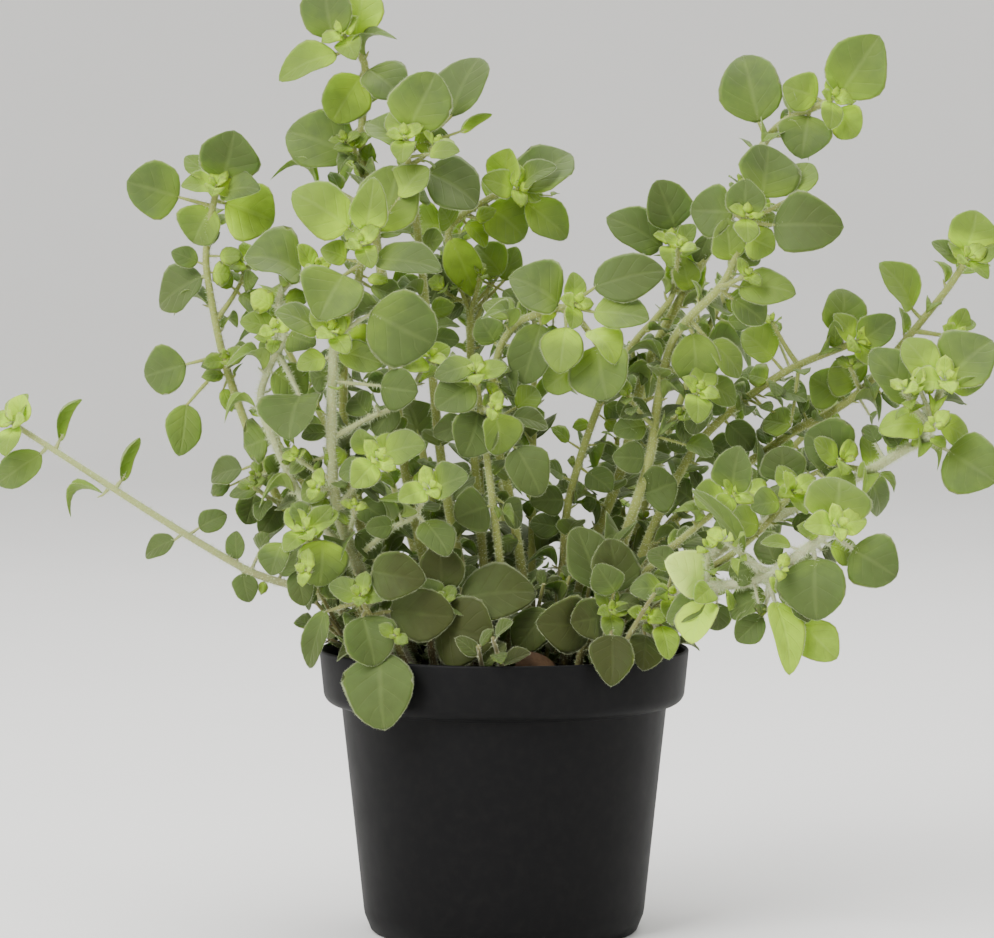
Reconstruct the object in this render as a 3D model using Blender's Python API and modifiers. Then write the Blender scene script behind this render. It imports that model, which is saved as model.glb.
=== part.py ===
"""Potted oregano: a nursery pot filled with soil, and the leafy stems that stand in it.

Run with: blender --background --python part.py
Sizes are metres, +Z is up, and the origin is the middle of the pot's base.
"""

import math
import random

import bmesh
import bpy
import numpy as np
from mathutils import Matrix, Vector
from mathutils.bvhtree import BVHTree

MM = 0.001

# Pot: a thin moulded shell with a bell-shaped rim
POT_HEIGHT = 92 * MM
POT_RIM_RADIUS = 60 * MM
POT_RIM_HEIGHT = 18 * MM
POT_RIM_TAPER = 1.3 * MM
POT_RIM_ROUNDING = 4.5 * MM
POT_SHOULDER_RADIUS = 52.8 * MM
POT_FOOT_RADIUS = 45.6 * MM
POT_FOOT_HEIGHT = 6 * MM
POT_BASE_RADIUS = 43 * MM
POT_WALL = 1.4 * MM
POT_FLOOR = 2.0 * MM
POT_STEPS = 26
DRAIN_HOLES = 6
DRAIN_SIDES = 7
DRAIN_RADIUS = 4.2 * MM
DRAIN_RING = 29 * MM
FOOT_NOTCHES = 3
NOTCH_SIZE = (17 * MM, 6 * MM, 2.4 * MM)

# Soil: fills the pot, and each stem stands in a plain hole in it
GAP = 0.3 * MM
SOIL_EDGE = 84 * MM
SOIL_CROWN = 86 * MM
STEM_DEPTH = 7.5 * MM
HOLE_GAP = 0.4 * MM
HOLE_SIDES = 4

# Leaves and stems
BLADE_THICKNESS = 0.7 * MM
PETIOLE_WIDTH = 1.3 * MM
LONG_PETIOLE = 3.2 * MM
SESSILE_REACH = 1.7 * MM
BLADE_ARCH = 0.07
BLADE_FOLD = 0.13
LARGE_LEAF = 18.5 * MM
SMALL_LEAF = 10.5 * MM
LEAST_LEAF = 8.3 * MM
CLEARANCE = 0.45 * MM
STEM_CLEARANCE = 0.8 * MM
TIP_TAPER = 0.62
TWIG_RADIUS = 0.8 * MM
SQUARE_SPREAD = 1.15
JITTER = 0.22 * MM
HIDE_POINTS = ((1.0, 0.0), (0.45, 0.9), (0.45, -0.9), (0.5, 0.0))
LOW_GROWTH = 128 * MM
LOW_GROWTH_REACH = 50 * MM
RULE_STALK = 2.6 * MM

# How the stems spread in depth, away from one middle layer, from one height upwards
MIDDLE_LAYER = -13
SPREAD = 1.3
SPREAD_FROM = 105 * MM
SPREAD_HEIGHT = 160 * MM

# The eye that the tables of places below are seen from: its distance from the pot's axis, how far
# it stands to the side, and its height
EYE = Vector((-2.3 * MM, -1400 * MM, 232 * MM))

# Half outlines of a blade, as (how far along, how wide), from the base to the tip
OUTLINES = {
    "large": ((0.11, 0.78), (0.4, 1.06), (0.75, 0.8)),
    "medium": ((0.13, 0.9), (0.62, 1.0)),
    "small": ((0.4, 1.1),),
    "plain": ((0.22, 0.98), (0.66, 0.96)),
}

# Stems that show from the front. Places are millimetres as they look from the eye against an
# upright plane through the pot's axis: (across, up, depth), where depth grows away from the eye.
# root is the stem's real place in the soil. A leaf is (across and up of the blade's base, across
# and up of its tip, width, and then, where it matters, how far it stands behind its stem, how far
# its tip leans back, and how far it is turned edge-on, in degrees).
STEMS = {
    "stem_left_trailing": dict(
        root=(-43, -12),
        radius=1.25,
        route=((-52, 103, -14), (-60, 109, -15), (-70, 113, -15), (-85, 118, -14),
               (-99, 127, -13), (-110, 134, -12), (-124, 142, -11), (-145, 156, -10),
               (-158, 164, -9)),
        leaves=((-78, 114, -79, 109, 3), (-85, 116, -83, 106.5, 7.5), (-87, 121, -87, 130, 6),
                (-107, 127, -117, 122, 8), (-99, 131, -90, 135.5, 7.5),
                (-130, 142, -141, 135, 5, 0, 2, 62), (-124, 146, -117, 159.5, 5, 0, -2, 62),
                (-144, 159, -137, 173, 5, 0, -2, 62), (-150, 155, -165, 145, 9.5),
                (-157, 166, -156, 174, 8), (-158, 163, -166, 163, 7)),
    ),
    "stem_left_upright": dict(
        root=(-40, 3),
        radius=1.5,
        route=((-52, 112, 1), (-64, 127, -1), (-71, 136, -2), (-76, 150, -3), (-83, 166, -3),
               (-89, 180, -4), (-92, 195, -4), (-96, 213, -5), (-96, 224, -6), (-93, 240, -7)),
        twigs=(((-91, 199, -4), (-87, 207, -2), (-83, 215, 0)),),
        leaves=((-105, 238, -122, 243, 16.5), (-91, 244, -87, 259, 17), (-95, 244, -103, 251, 8),
                (-95, 242, -102, 239, 7), (-91, 240, -79, 241, 10.5, -2),
                (-90, 236, -74, 230, 17, 3), (-95, 236, -101, 223, 14), (-98, 212, -112, 203, 16),
                (-99, 217, -107.5, 220.5, 6.5), (-96, 214, -88, 213, 7), (-92, 219, -84.5, 219, 5.5),
                (-84, 213, -89, 218, 5), (-103, 184, -117, 180, 13.5), (-103, 171, -105, 154.5, 10.5),
                (-90, 183, -82, 188.5, 8.5), (-91, 181, -98, 180, 5), (-91, 176, -88, 168.5, 5),
                (-85, 150, -95.5, 147, 11), (-81, 142, -84, 132, 9), (-73, 138, -79, 129, 8)),
    ),
    "stem_left_pale": dict(
        root=(-30, -15),
        radius=1.3,
        route=((-48, 118, -18), (-65, 140, -19), (-75, 160, -19), (-79, 172, -19),
               (-76, 183, -19), (-71, 193, -18), (-73, 205, -17), (-69, 211, -17),
               (-62, 214, -17)),
        leaves=((-64, 214, -83, 220, 20, -3), (-74, 195, -85.5, 198, 8.5), (-75, 203, -82, 207, 7),
                (-72, 204, -63, 206, 6), (-75, 182, -64, 174, 13, -3),
                (-66, 174, -70, 160, 18, -4), (-73, 161, -84.5, 157, 14),
                (-79, 190, -85, 192, 4), (-72, 192, -80, 188, 5)),
    ),
    "stem_centre_left": dict(
        root=(-36, -24),
        radius=1.9,
        route=((-45, 112, -27), (-51, 128, -28), (-54, 137, -28), (-55, 150, -28),
               (-56, 160, -28), (-55, 180, -28), (-55, 193, -28)),
        twigs=(((-54, 137, -28), (-48, 145, -32), (-42, 152, -35)),
               ((-48, 121, -28), (-36, 131, -33), (-29, 135, -36), (-25, 143, -38)),
               ((-55, 160, -28), (-45, 166, -27), (-33, 172, -25), (-25, 185, -23))),
        leaves=((-60, 195, -73, 202, 11), (-55, 193, -52.5, 201, 7), (-43, 201, -22.5, 190, 20, -4),
                (-53, 188, -39, 184, 9), (-52, 193, -41, 191, 9, 2), (-58, 186, -67, 183, 7.5),
                (-39, 155, -25.5, 158, 11), (-44, 155, -47, 163, 7), (-43, 150, -54, 148.5, 7.5),
                (-53, 151, -57, 157.5, 7, 3), (-40, 151, -34, 152.5, 4.5), (-23, 143, -11.5, 148, 11),
                (-26, 144, -28, 149.5, 4.5), (-27, 142, -32.5, 145, 4.5),
                (-26, 133, -18, 122, 10.5, -2), (-47, 139, -38.5, 134, 8.5),
                (-48, 129, -40, 122, 9), (-40, 177, -28, 175, 11), (-34, 169, -42, 161, 9),
                (-62, 153, -70, 150, 8, 4), (-57, 146, -66, 141, 10, 5), (-58, 141, -61, 132, 7, 3)),
    ),
    "stem_centre_left_tall": dict(
        root=(-29, -4),
        radius=1.6,
        route=((-36, 112, -8), (-46, 130, -12), (-51, 150, -14), (-52, 180, -16),
               (-50, 200, -19), (-47, 212, -21), (-46, 222, -23)),
        leaves=((-50, 228, -68, 240, 16), (-45, 227, -42, 243.5, 10.5), (-42, 218, -20.5, 216, 12.5, -2),
                (-52, 213, -60, 199, 19, -3), (-51, 218, -59, 221.5, 8), (-40, 227, -34, 248.5, 18, 5),
                (-34, 238, -25, 248, 12, 9), (-44, 212, -37.5, 210.5, 5), (-43, 209, -33, 205, 8, 3)),
    ),
    "stem_top_left": dict(
        root=(-19, 7),
        radius=1.6,
        route=((-24, 112, 7), (-32, 150, 6), (-38, 200, 3), (-43, 236, 0), (-46, 256, -2),
               (-46, 270, -3), (-45, 281, -4), (-51, 289, -5)),
        leaves=((-55, 289, -58, 308, 15), (-48, 289, -45, 308, 13, 2), (-54, 284, -73, 276.5, 11),
                (-53, 288, -60, 288.5, 5), (-45, 280, -33, 270, 16), (-47, 277, -56, 262, 14.5, 4),
                (-49, 251, -70.5, 260, 19), (-45, 248, -43, 255.5, 5), (-60, 239, -75, 245, 5, 0, 3, 60),
                (-53, 240, -56, 246.5, 5)),
    ),
    "stem_top_centre": dict(
        root=(-9, -10),
        radius=1.5,
        route=((-13, 112, -11), (-20, 150, -12), (-25, 200, -12), (-29, 235, -14), (-32, 256, -16)),
        leaves=((-34, 255, -44, 263, 13), (-31, 260, -22, 278, 18), (-29, 255, -14.5, 258, 12, -3),
                (-17, 264, -8, 283, 17, 5), (-30, 274, -28, 280.5, 5, 6),
                (-14, 259, -3, 264, 4, 3, 2, 60), (-25, 246, -8, 236, 19.5, 4),
                (-24, 252, -14.5, 253, 6.5)),
    ),
    "stem_centre_top": dict(
        root=(-4, 6),
        radius=1.4,
        route=((-6, 112, 5), (-9, 142, 3), (-10, 158, 2), (-11, 180, 2), (-11, 200, 1),
               (-14, 215, 0), (-18, 227, -2), (-12, 232, -3), (-4, 238, -4), (3, 240, -5)),
        leaves=((0, 242, 1, 253.5, 10.5), (7, 240, 21, 253, 19), (6, 242, 16, 248.5, 8.5, -3),
                (7, 236, 21, 225, 12), (-5, 235, 7, 225, 16, -2), (-9, 231, -3, 234, 5, -3),
                (-13, 231, -5.5, 222.5, 6.5, -3), (-17, 220, -24.5, 203, 13, 4),
                (-17, 226, -9, 206, 11, 3), (-1, 213, -9, 223, 11, 5), (0, 211, 4, 222, 8, 6),
                (-2, 210, -6, 203, 7, 3), (0, 208, 6, 200, 8, 5), (-12, 204, -20, 198, 9),
                (-20, 229, -31.5, 229, 12, 2)),
    ),
    "stem_centre": dict(
        root=(9, -17),
        radius=1.5,
        route=((6, 115, -17), (2, 140, -18), (-1, 152, -18), (-4, 168, -18), (-2, 187, -19),
               (4, 197, -20), (13, 201, -21), (22, 203, -22)),
        leaves=((18, 204, 2.5, 213, 18), (29, 209, 52, 215, 14.5), (29, 201, 47, 199, 13, -3),
                (20, 196, 18, 181, 12.5, -3), (28, 195, 36.5, 185, 10.5, -4),
                (30, 190, 33, 172.5, 18), (12, 197, 6, 177.5, 13.5), (23, 183, 13, 176, 10, 3),
                (22, 205, 26, 210.5, 5), (17, 200, 12, 197, 4), (-3, 191, -8, 199, 9, 2)),
    ),
    "stem_centre_low": dict(
        root=(1, -26),
        radius=1.3,
        route=((0, 108, -27), (-2, 125, -27), (-5, 142, -27), (-6, 157, -27), (-8, 170, -27),
               (-9, 180, -27)),
        leaves=((-9, 170, -13, 154, 13), (-3, 168, -1, 154.5, 12), (3, 167, 14, 163.5, 8),
                (0, 169, 2, 176, 5), (4, 170, 12.5, 177.5, 10, 3), (4, 157, 12, 141.5, 13),
                (-4, 138, -16, 134, 13.5), (-10, 178, -22, 170, 13, 3), (-10, 184, -22.5, 180, 8),
                (-10, 181, -14.5, 175, 7), (0, 139, 6, 132, 9, 3), (-12, 165, -23, 161, 8, 4)),
    ),
    "stem_low_left": dict(
        root=(-38, -33),
        radius=1.2,
        route=((-47, 105, -36), (-54, 113, -37), (-60, 121, -38), (-64, 129, -38)),
        leaves=((-59, 127, -60, 111.5, 15, -3), (-72, 126, -76, 115.5, 9.5), (-67, 117, -65, 105.5, 8),
                (-61, 113, -64, 104, 3.5), (-56, 117, -54, 107.5, 8.5), (-64, 132, -69, 139, 8),
                (-63, 131, -56, 138, 6)),
    ),
    "base_left": dict(
        root=(-30, -40),
        radius=1.2,
        route=((-38, 98, -44), (-44, 103, -46), (-46, 108, -47)),
        leaves=((-40, 90, -39, 65, 20, -7, -1), (-46, 102, -42, 86, 16, -2, -2),
                (-58, 104, -64, 85, 8, 8, -2, 20), (-37, 104, -16, 102, 14.5, -2),
                (-43, 117, -25.5, 114, 12.5), (-47, 109, -53.5, 109, 5), (-45, 109, -39, 109, 5),
                (-46, 110, -46, 116, 5), (-37, 95, -31, 93, 6, 2)),
    ),
    "base_centre": dict(
        root=(-22, -36),
        radius=1.2,
        route=((-24, 98, -41), (-20, 106, -43)),
        leaves=((-24, 100, -3.5, 94, 20, -5, -3), (-14, 108, 10.5, 111, 18), (-20, 109, -21, 126, 13, 4)),
    ),
    "base_right": dict(
        root=(23, -33),
        radius=1.2,
        route=((28, 97, -38), (34, 103, -41)),
        leaves=((14, 104, 3.5, 91, 12, 3), (30, 98, 12, 100, 15, -3), (34, 103, 21.5, 100, 12, -6),
                (36, 110, 30, 119, 9, -4), (31, 111, 23, 131, 15, 6), (37, 110, 34, 127.5, 14),
                (35, 96, 35, 80.5, 12.5, -12, -2), (36, 106, 44.5, 106, 6.5)),
    ),
    "base_far_right": dict(
        root=(36, -28),
        radius=1.2,
        route=((42, 98, -36), (48, 103, -40), (53, 108, -42)),
        leaves=((46, 96, 45, 84.5, 9.5, -5), (51, 99, 53.5, 88, 7.5, -7), (49, 101, 46, 97, 4, -5),
                (52, 110.5, 41, 111, 9.5), (55, 118, 47, 124, 8, 2), (44, 117, 40, 122, 5)),
    ),
    "stem_front_right": dict(
        root=(41, -14),
        radius=1.75,
        route=((52, 107, -32), (60, 111, -44), (68, 112, -52), (78, 113, -55), (88, 117, -58),
               (96, 122, -60), (103, 127, -61), (107, 131, -61)),
        leaves=((66, 113, 52, 120, 14, -6), (66, 109, 53, 100, 8.5, -8), (66, 107, 61, 93, 11.5, -3),
                (88, 107, 94, 84, 10, -4), (101, 121, 101, 101, 19, 2), (97, 100, 108, 88, 11, -2),
                (85, 109, 73, 103, 11, 3), (84, 102, 75.5, 94, 9, 5), (83, 118, 72.5, 116, 9, 4),
                (78, 123, 60.5, 143, 7, -2, 2, 30), (93, 125, 83.5, 126.5, 4.5),
                (103, 129, 95, 131.5, 5), (104, 126, 104, 118.5, 5.5, -4),
                (107, 132, 109, 147.5, 19.5), (113, 124, 127.5, 115, 15.5, 3),
                (106, 125, 115, 121, 8), (94, 117, 92, 104, 7, 5)),
    ),
    "stem_right_low": dict(
        root=(29, -20),
        radius=1.2,
        route=((42, 112, -28), (54, 124, -33), (66, 134, -37), (74, 141, -39)),
        leaves=((73, 141, 61.5, 142, 9), (74, 143, 76, 157, 12), (75, 141, 78.5, 148, 5.5, -3),
                (74, 138, 71, 144, 5, -3)),
    ),
    "stem_right_low_outer": dict(
        root=(45, -24),
        radius=1.25,
        route=((57, 112, -29), (72, 121, -34), (85, 132, -38), (93, 142, -40)),
        twigs=(((89, 137, -39), (98, 147, -36), (108, 152, -33)),),
        leaves=((91, 140, 80, 138, 9.5), (92, 143, 91, 149, 4.5), (94, 143, 98.5, 148.5, 5.5),
                (84, 131, 71, 134, 10, -3), (91, 146, 90, 157.5, 13.5, 5), (112, 154, 98, 161.5, 16.5, 4),
                (104, 147, 114, 142, 10, 4), (119, 150, 117, 162, 6.5, 8), (117, 149, 123, 134.5, 9.5, 6),
                (83, 141, 81, 147, 6, 4), (82, 150, 79, 155.5, 5.5, 6)),
    ),
    "stem_right_long": dict(
        root=(35, 4),
        radius=1.5,
        route=((44, 120, 2), (55, 145, 0), (66, 162, -3), (75, 169, -5), (90, 181, -8),
               (100, 185, -9), (107, 188, -10), (113, 191, -11)),
        leaves=((109, 193, 110, 209, 13.5), (115, 191, 126.5, 199, 10.5), (106, 189, 107, 198, 5),
                (112, 192, 113.5, 200.5, 6, -3), (87, 186, 77, 194.5, 13.5), (87, 179, 79, 181, 9.5),
                (89, 175, 98, 173, 9.5), (93, 164, 84, 166, 11, 4), (93, 166, 94, 171, 5, 4)),
    ),
    "stem_right_far": dict(
        root=(30, 15),
        radius=1.5,
        route=((48, 125, 12), (68, 145, 8), (82, 154, 4), (95, 163, -1), (105, 168, -4),
               (115, 175, -6), (125, 186, -8), (132, 195, -9), (143, 208, -10), (149, 217, -11)),
        twigs=(((132, 195, -9), (138, 194, -10), (144, 193, -11)),),
        leaves=((149, 221, 153, 233.5, 15), (151, 219, 160, 223, 9), (150, 216, 157, 213, 7),
                (147, 218, 138, 223.5, 6.5), (146, 216, 142, 213, 5), (132, 202, 122, 217, 12.5),
                (144, 194, 152.5, 198, 7.5), (109, 174, 99, 180, 13), (115, 176, 107, 185, 13.5)),
    ),
    "stem_right_white": dict(
        root=(47, -9),
        radius=1.7,
        route=((60, 115, -16), (84, 132, -22), (108, 144, -28), (121, 151, -32), (131, 157, -34),
               (136, 160, -34), (139, 167, -35), (142, 178, -36)),
        leaves=((144, 178, 158, 192, 19), (139, 180, 130, 192.5, 11), (143, 180, 144.5, 187.5, 6, -3),
                (145, 176, 156, 179, 5.5, -4, 0, 40), (133, 172, 119, 189, 13.5), (138, 165, 121.5, 163.5, 11),
                (141, 165, 151.5, 159.5, 9.5, 3), (144, 156, 159, 146, 18), (140, 177, 135, 177, 4)),
    ),
    "stem_right_yellow": dict(
        root=(15, -8),
        radius=1.3,
        route=((19, 118, -8), (21, 140, -8), (25, 152, -8), (32, 174, -7), (42, 191, -5),
               (50, 200, -4), (55, 208, -3), (54, 222, -3)),
        leaves=((55, 228, 49, 243.5, 14.5), (51, 222, 33.5, 232, 14), (57, 222, 62, 229, 7),
                (59, 222, 59, 205, 12.5, 3), (60, 208, 57, 219, 8, -2), (27, 149, 35, 143, 9),
                (21, 159, 15.5, 164, 5), (29, 165, 22, 163.5, 4), (33, 166, 36, 162, 4.5),
                (24, 152, 20.5, 153, 3.5)),
    ),
    "stem_right_main": dict(
        root=(27, -9),
        radius=1.6,
        route=((38, 124, -14), (43, 140, -16), (47, 153, -17), (50, 173, -18), (54, 190, -18),
               (59, 198, -19), (66, 205, -20), (72, 212, -21), (75, 222, -22), (78, 231, -23)),
        twigs=(((49, 160, -18), (55, 166, -19), (62, 174, -20)),),
        leaves=((76, 209, 94, 208, 12.5, -2), (74, 205, 84.5, 197.5, 11, 3), (72, 216, 71.5, 231, 10.5, -4),
                (78, 226, 87.5, 221, 9.5), (74, 217, 83, 218.5, 5), (61, 194, 62, 176.5, 14),
                (67, 191, 77, 180, 10, 4), (45, 142, 56, 146, 12.5), (46, 164, 35.5, 162.5, 8),
                (44, 172, 37, 167, 8, 3), (83, 238, 85, 254.5, 18, 3), (78, 232, 78, 243.5, 11.5, -3),
                (80, 229, 88.5, 233, 6.5, -3), (87, 229, 109, 229, 17.5), (74, 233, 60, 234, 14),
                (93, 238, 98.5, 249.5, 10.5, 6), (60, 172, 63.5, 161.5, 9.5), (65, 178, 76, 172, 9.5),
                (59, 158, 68, 155, 8, 2)),
    ),
    "stem_right_top": dict(
        root=(20, 9),
        radius=1.6,
        route=((27, 120, 8), (38, 150, 6), (45, 180, 3), (52, 196, 0), (60, 210, -3), (68, 224, -5),
               (77, 240, -6), (83, 254, -7), (90, 262, -8), (97, 266, -9), (105, 269, -10)),
        leaves=((82, 262, 77, 284.5, 18.5), (84, 257, 87, 260.5, 4), (108, 271, 121, 290, 18),
                (101, 270, 90, 274, 11), (99, 265, 96, 250.5, 15.5), (107, 266, 114, 257.5, 11),
                (103, 270, 101, 275, 5), (108, 267, 115, 266.5, 6), (66, 226, 62, 217, 6, 3)),
    ),
}

# Stems at the back, that grow by rule: real place in the soil, and the place of the tip
BACK_STEMS = {
    "back_left_low": ((-40, 15), (-74, 160, 48)),
    "back_left": ((-31, 22), (-76, 200, 50)),
    "back_left_tall": ((-17, 25), (-47, 246, 62)),
    "back_centre": ((-5, 34), (-14, 226, 76)),
    "back_centre_low": ((-22, 42), (-40, 156, 92)),
    "back_middle_low": ((4, 45), (-4, 166, 104)),
    "back_centre_right": ((9, 24), (10, 204, 48)),
    "back_right": ((24, 30), (58, 208, 74)),
    "back_right_tall": ((34, 26), (82, 232, 58)),
    "back_right_low": ((28, 43), (48, 142, 94)),
    "back_right_outer": ((43, 12), (104, 168, 42)),
}
BACK_RADIUS = 1.3 * MM
BACK_SEED = 3
FILLER_SEED = 103
NODE_SPACING = 40 * MM
FILLER_SPACING = 60 * MM
BACK_LEAF = 17 * MM
ROUTE_TOLERANCE = 0.9 * MM

# How a joined stem is tidied: the flat angle and the short edge of each way, tried in turn
MOST_TRIES = 4
FLAT_ANGLE = math.radians(2.5)
SHORT_EDGE = 0.02 * MM
TIDY_WAYS = ((FLAT_ANGLE, SHORT_EDGE), (FLAT_ANGLE, 0), (0, SHORT_EDGE), (0, 0))
WELD = 0.002 * MM


class Leaf:
    """One leaf: its root on the stem's axis, its blade's base and tip, its face and its width."""

    def __init__(self, root, base, tip, face, width, plain=False):
        self.root = root
        self.base = base
        self.tip = tip
        self.width = width
        self.plain = plain
        self.along = (tip - base).normalized()
        self.face = (face - face.dot(self.along) * self.along).normalized()
        self.side = self.along.cross(self.face)
        self.length = (tip - base).length

    def kind(self):
        if self.plain:
            return "plain"
        if self.length > LARGE_LEAF:
            return "large"
        return "medium" if self.length > SMALL_LEAF else "small"

    def point(self, along, across):
        """A place on the blade's middle surface, arched along and folded at the rib."""
        arch = BLADE_ARCH * self.length * 4 * along * (1 - along)
        fold = BLADE_FOLD * self.width * abs(across)
        place = self.base + self.along * (self.length * along)
        return place + self.side * (self.width * across / 2) + self.face * (arch + fold)

    def outline(self, grow=0.0):
        """The closed outline on the middle surface, from the root round to the root."""
        half = PETIOLE_WIDTH / self.width
        swell = 1 + 2 * grow / self.width
        right = [] if self.plain else [self.point(0, half * swell)]
        left = [] if self.plain else [self.point(0, -half * swell)]
        for along, wide in OUTLINES[self.kind()]:
            right.append(self.point(along, wide * swell))
            left.append(self.point(along, -wide * swell))
        tip = self.point(1, 0) + self.along * grow
        root = [self.root]
        if self.has_petiole():
            out = self.side * (PETIOLE_WIDTH * 0.42)
            root = [self.root - out, self.root + out]
        return root + right + [tip] + left[::-1]

    def has_petiole(self):
        return (self.base - self.root).length > LONG_PETIOLE and not self.plain

    def upper_triangles(self, count, roots):
        """The triangles of one face of an outline: round the rib of a large blade, else in rows."""
        if roots == 1:
            found = [(0, 1, count - 1)]
        else:
            found = [(0, 1, roots), (0, roots, count - 1)]
        if self.kind() == "large":
            found += [(i, i + 1, count) for i in range(roots, count - 1)]
            found.append((count - 1, roots, count))
            return found
        rows = (count - roots - 1) // 2
        for row in range(rows - 1):
            right, left = roots + row, count - 1 - row
            found += [(right, right + 1, left - 1), (right, left - 1, left)]
        tip = roots + rows
        found.append((tip - 1, tip, tip + 1))
        return found

    def solid(self, grow=0.0):
        """The leaf's slab: its points and triangles, split alike on both faces."""
        middle = self.outline(grow)
        count = len(middle)
        roots = 2 if self.has_petiole() else 1
        top = self.upper_triangles(count, roots)
        if self.kind() == "large":
            middle.append(self.point(0.42, 0))
        lift = self.face * (BLADE_THICKNESS / 2 + grow)
        points = [p + lift for p in middle] + [p - lift for p in middle]
        low = len(middle)
        faces = top + [(c + low, b + low, a + low) for a, b, c in top]
        for i in range(count):
            j = (i + 1) % count
            faces += [(i, i + low, j + low), (i, j + low, j)]
        return points, faces

    def distance(self, place):
        """How far a place is from the slab's surface, with larger leaves counted as further."""
        tree = BVHTree.FromPolygons(*self.solid())
        return tree.find_nearest(place)[3] + self.length * 0.001


class Obstacles:
    """What the stems and leaves keep clear of, and what hides a leaf from the eye."""

    def __init__(self):
        self.solids = []

    def add(self, owner, points, faces, blade=False):
        tree = BVHTree.FromPolygons(points, faces)
        low, high = corners(points)
        self.solids.append((owner, blade, low, high, tree))

    def meets(self, owner, points, faces, same_stem):
        """Whether a solid crosses another stem's solids or, if asked, its own stem's blades."""
        tree = BVHTree.FromPolygons(points, faces)
        low, high = corners(points)
        for other, blade, other_low, other_high, other_tree in self.solids:
            if (other == owner) != same_stem or (same_stem and not blade):
                continue
            if any(low[i] > other_high[i] or high[i] < other_low[i] for i in range(3)):
                continue
            if tree.overlap(other_tree):
                return True
        return False

    def hides(self, place):
        """Whether something stands between the eye and a place."""
        ray = place - EYE
        reach = ray.length - 2 * MM
        for _, _, low, high, tree in self.solids:
            if low[1] > place.y:
                continue
            if tree.ray_cast(EYE, ray.normalized(), reach)[0] is not None:
                return True
        return False


def corners(points):
    low = [min(p[i] for p in points) for i in range(3)]
    high = [max(p[i] for p in points) for i in range(3)]
    return low, high


def seen(across, up, depth):
    """The real place of a point given as it looks from the eye, with its depth."""
    plane = Vector((across * MM, 0, up * MM))
    return EYE + (plane - EYE) * ((depth * MM - EYE.y) / -EYE.y)


def spread(depth, up):
    """A stem's depth, further from the bush's middle layer the higher it is."""
    share = min(max((up * MM - SPREAD_FROM) / SPREAD_HEIGHT, 0), 1)
    return MIDDLE_LAYER + (depth - MIDDLE_LAYER) * (1 + SPREAD * share)


def jitter(chance):
    """A small random step, so that no two leaves start at the very same point."""
    return Vector([chance.uniform(-JITTER, JITTER) for _ in range(3)])


def soil_height(x, y):
    """The crowned soil's height at a place."""
    share = min(1.0, math.hypot(x, y) / (POT_RIM_RADIUS - POT_WALL))
    return SOIL_CROWN + (SOIL_EDGE - SOIL_CROWN) * share


def stem_line(root, places):
    """The stem's axis: upright in its hole, then along its route."""
    x, y = root[0] * MM, root[1] * MM
    top = soil_height(x, y)
    return [Vector((x, y, top - STEM_DEPTH)), Vector((x, y, top + 2.5 * MM))] + places


def dense(line, step=1.5 * MM):
    """Points along a line at close, even steps."""
    found = []
    for start, end in zip(line, line[1:]):
        count = max(1, int((end - start).length / step))
        found += [start.lerp(end, i / count) for i in range(count)]
    return np.array([tuple(p) for p in found + [line[-1]]])


def line_gap(first, second):
    """The least distance between two lines given by close points."""
    return np.sqrt(((first[:, None, :] - second[None, :, :]) ** 2).sum(axis=2).min())


def nearest_on(line, place):
    """The point of a line nearest to a place, kept a little short of the line's end."""
    best = None
    for start, end in zip(line, line[1:]):
        span = end - start
        share = (place - start).dot(span) / span.length_squared
        share = min(max(share, 0.0), 1.0)
        if end is line[-1]:
            share = min(share, 1 - min(0.9, 0.9 * MM / span.length))
        point = start + span * share
        distance = (place - point).length
        if best is None or distance < best[0]:
            best = (distance, point)
    return best


def tube_mesh(name, line, radius):
    """A closed four-sided stem along a line, thinner towards its end."""
    curve = bpy.data.curves.new(name, "CURVE")
    curve.dimensions = "3D"
    curve.bevel_depth = radius * SQUARE_SPREAD
    curve.bevel_resolution = 0
    curve.use_fill_caps = True
    spline = curve.splines.new("POLY")
    spline.points.add(len(line) - 1)
    for i, (point, place) in enumerate(zip(spline.points, line)):
        point.co = (*place, 1)
        point.radius = 1 - (1 - TIP_TAPER) * i / (len(line) - 1)
    holder = bpy.data.objects.new(name, curve)
    bpy.context.scene.collection.objects.link(holder)
    evaluated = holder.evaluated_get(bpy.context.evaluated_depsgraph_get())
    mesh = bpy.data.meshes.new_from_object(evaluated)
    bpy.data.objects.remove(holder)
    bpy.data.curves.remove(curve)
    shape = bmesh.new()
    shape.from_mesh(mesh)
    bmesh.ops.remove_doubles(shape, verts=shape.verts, dist=1e-6)
    bmesh.ops.recalc_face_normals(shape, faces=shape.faces)
    bmesh.ops.triangulate(shape, faces=shape.faces)
    shape.to_mesh(mesh)
    shape.free()
    return mesh


def mesh_lists(mesh):
    points = [v.co.copy() for v in mesh.vertices]
    return points, [tuple(p.vertices) for p in mesh.polygons]


def leaf_mesh(name, leaf):
    points, faces = leaf.solid()
    mesh = bpy.data.meshes.new(name)
    mesh.from_pydata(points, [], faces)
    return mesh


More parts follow.
